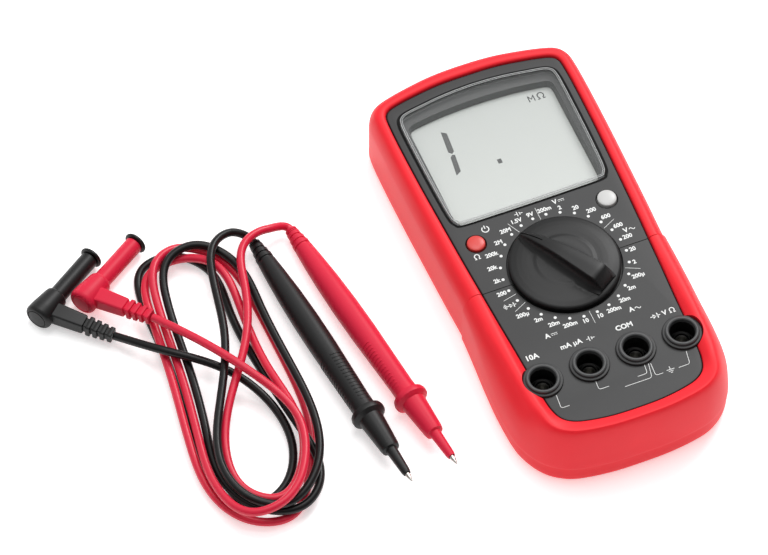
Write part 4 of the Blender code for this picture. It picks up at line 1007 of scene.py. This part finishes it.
def make_printing(mats):
    bm = bmesh.new()
    print_dial(bm)
    power_sign(bm, -21.5, 13.1)
    omega(bm, -29.4, 2.3, 2.6)
    cell_sign(bm, -7.0, 15.0)
    lettering(bm, "V", 8.0, 14.8, 2.9)
    direct_sign(bm, 10.6, 14.8, 2.6)
    lettering(bm, "V", 27.8, -7.6, 2.9)
    wave_sign(bm, 30.4, -7.6, 2.4)
    lettering(bm, "A", 15.2, -41.9, 2.9)
    wave_sign(bm, 17.8, -41.9, 2.4)
    lettering(bm, "A", -19.0, -41.1, 2.9)
    direct_sign(bm, -16.2, -41.1, 2.6)
    lettering(bm, "10A", -28.2, -47.7, 3.2, 0.1)
    lettering(bm, "mA µA", -12.2, -47.8, 3.0)
    cell_sign(bm, -4.4, -48.0)
    lettering(bm, "COM", 9.5, -47.9, 3.0, 0.1)
    diode_sign(bm, 22.3, -48.0, 1.35)
    lettering(bm, "V", 26.1, -48.0, 2.9, 0.09)
    omega(bm, 29.2, -47.9, 2.5)
    bracket(bm, [(-26.4, -66.8), (-27.0, -72.8), (-23.6, -72.8)])
    bracket(bm, [(-10.3, -66.8), (-10.6, -70.5), (-6.6, -70.5)])
    bracket(bm, [(5.2, -70.6), (9.1, -70.6), (9.6, -66.6)])
    bracket(bm, [(-1.1, -73.0), (9.9, -73.0), (11.2, -66.8)])
    bracket(bm, [(12.0, -67.0), (11.6, -72.7), (14.6, -72.7)])
    bracket(bm, [(21.0, -72.7), (25.6, -72.7), (26.6, -67.0)])
    stroke(bm, [(17.8, -70.9), (17.8, -72.3)], 0.24)
    for k in range(3):
        half = 1.55 - 0.55 * k
        stroke(bm, [(17.8 - half, -72.3 - 0.7 * k), (17.8 + half, -72.3 - 0.7 * k)], 0.24)
    printing = to_object("panel_printing", bm, [mats["print"]], 30)
    place(printing, "meter", slot="panel_upper")


# ---- display ----
def make_display(mats):
    lens = outline(WINDOW_HALF)
    view = outline(LCD_HALF)
    bm = bmesh.new()
    loft(bm, [at_height(inset(lens, 0.1), 21.6), at_height(inset(lens, 0.1), 24.0),
              at_height(inset(lens, 0.9), 24.0), at_height(inset(lens, 0.9), 28.2)])
    mask = to_object("display_mask", bm, [mats["mask"]], 30)
    bm = bmesh.new()
    loft(bm, [at_height(view, 24.0), at_height(view, 25.6), at_height(inset(view, -0.9), 28.0),
              at_height(inset(view, -0.9), 30.0)])
    apply_boolean(mask, bm)
    bm = bmesh.new()
    box(bm, (-30.7, 30.7), (18.7, 72.8), (20.0, 25.45))
    apply_boolean(mask, bm)
    reshade(mask, 30)
    place(mask, "meter", "lcd_frame")

    bm = bmesh.new()
    slab(bm, inset(lens, 1.6), 28.4, 30.6)
    window = to_object("display_cover", bm, [mats["pane"]], 40)
    place(window, "meter", "display_window")

    section = [(1.6, 30.6), (1.52, 30.8), (1.4, 31.0), (1.25, 31.05), (0.95, 31.05), (0.7, 31.0),
               (0.55, 30.8), (0.5, 30.5), (0.5, 28.4), (1.6, 28.4)]
    bm = bmesh.new()
    loft(bm, [at_height(inset(lens, depth), z) for depth, z in section], closed=True)
    bezel = to_object("display_bezel", bm, [mats["bezel"]], 50)
    place(bezel, "meter", "display_window")
    # Two thin light lines along the bevel: painted highlights.
    bm = bmesh.new()
    for depth, width, z in ((0.66, 0.16, 31.04), (1.36, 0.12, 31.02)):
        band(bm, lens, depth, depth + width, z, z + 0.05)
    edges = to_object("display_edge_highlights", bm, [mats["edge"]], 50)
    place(edges, "meter", slot="display_window")

    foot = LCD_Z + 0.005
    top = LCD_Z + 0.03
    bm = bmesh.new()
    upper_bar = [(-18.3, 64.9), (-16.3, 63.5), (-17.0, 54.6), (-18.1, 53.7), (-19.3, 54.9)]
    lower_bar = [(-19.4, 52.3), (-18.3, 53.3), (-17.3, 52.9), (-18.2, 44.9), (-20.5, 43.6)]
    for ring in (upper_bar, lower_bar):
        slab(bm, ring, foot, top)
    box(bm, (-3.3, -1.6), (42.6, 44.7), (foot, top))
    shift = LCD_Z + 0.02 - sum(PRINT_Z) / 2
    before = len(bm.verts)
    mega(bm, 20.5, 66.5, 2.9)
    omega(bm, 24.4, 66.4, 3.4)
    bm.verts.ensure_lookup_table()
    for vert in bm.verts[before:]:
        vert.co.z += shift
    digits = to_object("display_segments", bm, [mats["segment"]], 30)
    place(digits, "meter", slot="lcd_glass")


# ---- selector knob ----
# Along the grip bar: place, half width at the foot, half width at the top, height of the top.
GRIP_STATIONS = [
    (20.8, 1.2, 0.5, 34.0), (18.0, 2.8, 1.0, 35.6), (12.7, 4.9, 1.8, 37.4), (4.2, 7.0, 2.6, 38.7),
    (-5.0, 7.6, 3.4, 39.0), (-12.5, 7.3, 4.0, 39.0), (-15.0, 6.8, 4.0, 38.8), (-16.6, 6.4, 3.95, 37.9),
    (-19.5, 5.5, 3.5, 34.2),
]
GRIP_FOOT_Z = 33.2
GROOVE_Y = (10.6, 21.4)
GROOVE_HALF = 0.22


def grip_section(base, top, z):
    """Section of the grip bar with hollow flanks, from its left foot over the top to the right foot."""
    height = z - GRIP_FOOT_Z
    flare = base - top
    side = [(-base, GRIP_FOOT_Z - 0.8), (-base, GRIP_FOOT_Z)]
    for t in (0.08, 0.2, 0.36, 0.56, 0.78):
        side.append((-top - 0.1 - flare * (1 - t) ** 3.2, GRIP_FOOT_Z + t * height))
    side += [(-top - 0.02, z - 0.3), (-top + 0.1, z - 0.1), (-top + 0.32, z)]
    side = [(min(x, -0.12), h) for x, h in side]
    return side + [(-x, h) for x, h in reversed(side)]


def make_knob(mats):
    profile = [
        (0, 33.75), (10.9, 33.72), (12.2, 33.4), (14.5, 33.34), (16.5, 33.2), (18.5, 32.94),
        (20.6, 32.45), (21.2, 32.15), (KNOB_R, 31.7), (KNOB_R, 29.2), (HUB_R, 29.2), (HUB_R, 20.7),
        (3.4, 20.7), (3.4, 24.6), (0, 24.6),
    ]
    bm = bmesh.new()
    revolve(bm, fillet(profile, 0.35, 4), 160, shifted(*KNOB))
    knob = to_object("knob_dial", bm, [mats["knob"]], 38)
    turn = shifted(*KNOB) @ Matrix.Rotation(math.radians(POINTER_DEG - 90), 4, "Z")
    stations = catmull(GRIP_STATIONS, 3)
    bm = bmesh.new()
    loft(bm, [[tuple(turn @ Vector((x, y, h))) for x, h in grip_section(base, top, z)]
              for y, base, top, z in stations])
    apply_boolean(knob, bm, "UNION")
    near, far = GROOVE_Y
    groove = [(-GROOVE_HALF, far), (GROOVE_HALF, far), (GROOVE_HALF, near), (-GROOVE_HALF, near)]
    bm = bmesh.new()
    loft(bm, [[tuple(turn @ Vector((x, y, 33.0 + (far - y) * 0.42))) for x, y in groove],
              [tuple(turn @ Vector((x, y, 41.0))) for x, y in groove]])
    apply_boolean(knob, bm)
    reshade(knob, 38)
    place(knob, "selector", "selector_knob")


# ---- buttons and jacks ----
def make_buttons(mats):
    dome = 0.6
    for name, (x, y, r), colour, rise in (
            ("power", POWER_BUTTON, "button_red", 30.6), ("low_z", LOW_Z_BUTTON, "button_white", 30.9)):
        crown = [(0, rise + dome), (r * 0.45, rise + dome * 0.9), (r * 0.78, rise + dome * 0.62),
                 (r - 0.12, rise + 0.1), (r, rise - 0.3), (r, 27.0), (r + 0.9, 27.0),
                 (r + 0.9, 25.8), (1.6, 25.8), (1.6, 24.0), (0, 24.0)]
        bm = bmesh.new()
        revolve(bm, fillet(crown, 0.4, 4), 96, shifted(x, y))
        button = to_object(f"{name}_key_cap", bm, [mats[colour]], 45)
        place(button, f"{name}_key", f"{name}_button")


def make_jacks(mats):
    lip = [
        (JACK_HOLE_R - 0.3, 18.0), (JACK_HOLE_R - 0.3, 31.05), (6.5, 31.05), (6.6, 31.4), (6.45, 31.85),
        (6.05, 32.1), (5.6, 32.1), (5.2, 31.85), (5.0, 31.4), (5.0, 30.8), (5.2, 30.8), (5.2, 18.0),
    ]
    # Inside of each socket: painted shade, a near-black lining where shade falls down the deep hole.
    shaded_liner = [
        (5.2, 30.8), (JACK_BORE_R, 30.6), (JACK_BORE_R, 24.0), (4.5, 23.7), (4.5, 19.2), (3.4, 19.2),
        (3.4, 25.6), (3.2, 25.8), (2.95, 25.6), (2.95, 19.2), (2.8, 19.2), (2.8, 18.0), (5.2, 18.0),
    ]
    contact = [(0, 17.9), (2.7, 17.9), (2.7, 24.6), (2.4, 25.0), (2.1, 24.7), (2.1, 18.8), (0, 18.8)]
    for index, x in enumerate(JACK_X):
        for name, profile, key in (("socket", lip, "jack"), ("shaded_liner", shaded_liner, "bore")):
            bm = bmesh.new()
            revolve(bm, profile, 96, shifted(x, JACK_Y), closed=True)
            sleeve = to_object(f"jack_{name}_{index + 1}", bm, [mats[key]], 30)
            place(sleeve, "meter", f"jack_sleeve_{index + 1}")
        bm = bmesh.new()
        revolve(bm, contact, 64, shifted(x, JACK_Y))
        tube = to_object(f"jack_tube_{index + 1}", bm, [mats["contact"]], 30)
        place(tube, "meter", f"jack_contact_{index + 1}")


# ---- carried-over CAD nodes ----
FINISHES = {
    "rear_case": "case", "battery_door": "case", "tilt_stand": "knob", "lcd_glass": "lcd",
    "zebra_strip": "chip", "switch_rotor": "ivory", "rotor_contact": "brass", "detent_ring": "ivory",
    "power_switch": "chip", "low_z_switch": "chip", "main_pcb": "board", "adc_chip": "chip",
    "buzzer": "chip", "fuse_10a": "fuse", "fuse_ma": "fuse", "shunt_wire": "brass",
    "battery_9v": "battery", "battery_snap": "chip",
}
FINISH_STARTS = {
    "case_screw": "steel", "pcb_screw": "steel", "door_screw": "steel", "detent_ball": "steel",
    "fuse_clip": "brass", "plug_pin": "nickel", "probe_needle": "nickel",
    "probe_handle_red": "lead_red", "probe_handle_black": "lead_black",
}


WELD_MM = 0.005
SHARP_DEG = 32


def clean_shading():
    """Node group that welds a mesh and shades it smooth apart from its sharp edges."""
    group = bpy.data.node_groups.new("clean_shading", "GeometryNodeTree")
    group.interface.new_socket("Geometry", in_out="INPUT", socket_type="NodeSocketGeometry")
    group.interface.new_socket("Geometry", in_out="OUTPUT", socket_type="NodeSocketGeometry")
    nodes = group.nodes
    weld = add(nodes, "GeometryNodeMergeByDistance", Distance=WELD_MM * MM)
    faces = add(nodes, "GeometryNodeSetShadeSmooth", Shade_Smooth=True)
    edges = add(nodes, "GeometryNodeSetShadeSmooth", Shade_Smooth=False)
    edges.domain = "EDGE"
    angle = nodes.new("GeometryNodeInputMeshEdgeAngle")
    sharp = nodes.new("FunctionNodeCompare")
    sharp.operation = "GREATER_THAN"
    sharp.inputs["B"].default_value = math.radians(SHARP_DEG)
    group.links.new(angle.outputs["Unsigned Angle"], sharp.inputs["A"])
    group.links.new(sharp.outputs["Result"], edges.inputs["Selection"])
    chain = [nodes.new("NodeGroupInput"), weld, faces, edges, nodes.new("NodeGroupOutput")]
    for before, after in zip(chain, chain[1:]):
        group.links.new(before.outputs[0], after.inputs[0])
    return group


def finish_nodes(mats):
    """Give every CAD node that stays in view its procedural material and clean shading."""
    group = clean_shading()
    for name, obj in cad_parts.items():
        key = FINISHES.get(name)
        for start, value in FINISH_STARTS.items():
            if name.startswith(start):
                key = value
        if key is None:
            continue
        obj.data.materials.clear()
        obj.data.materials.append(mats[key])
        obj.modifiers.new("shading", "NODES").node_group = group


def main():
    mats = make_materials()
    make_camera()
    make_leads(mats)
    make_floor(mats)
    make_light_rig()
    make_bumper(mats)
    make_panel(mats)
    make_gap_shade(mats)
    make_printing(mats)
    make_display(mats)
    make_knob(mats)
    make_buttons(mats)
    make_jacks(mats)
    finish_nodes(mats)


main()
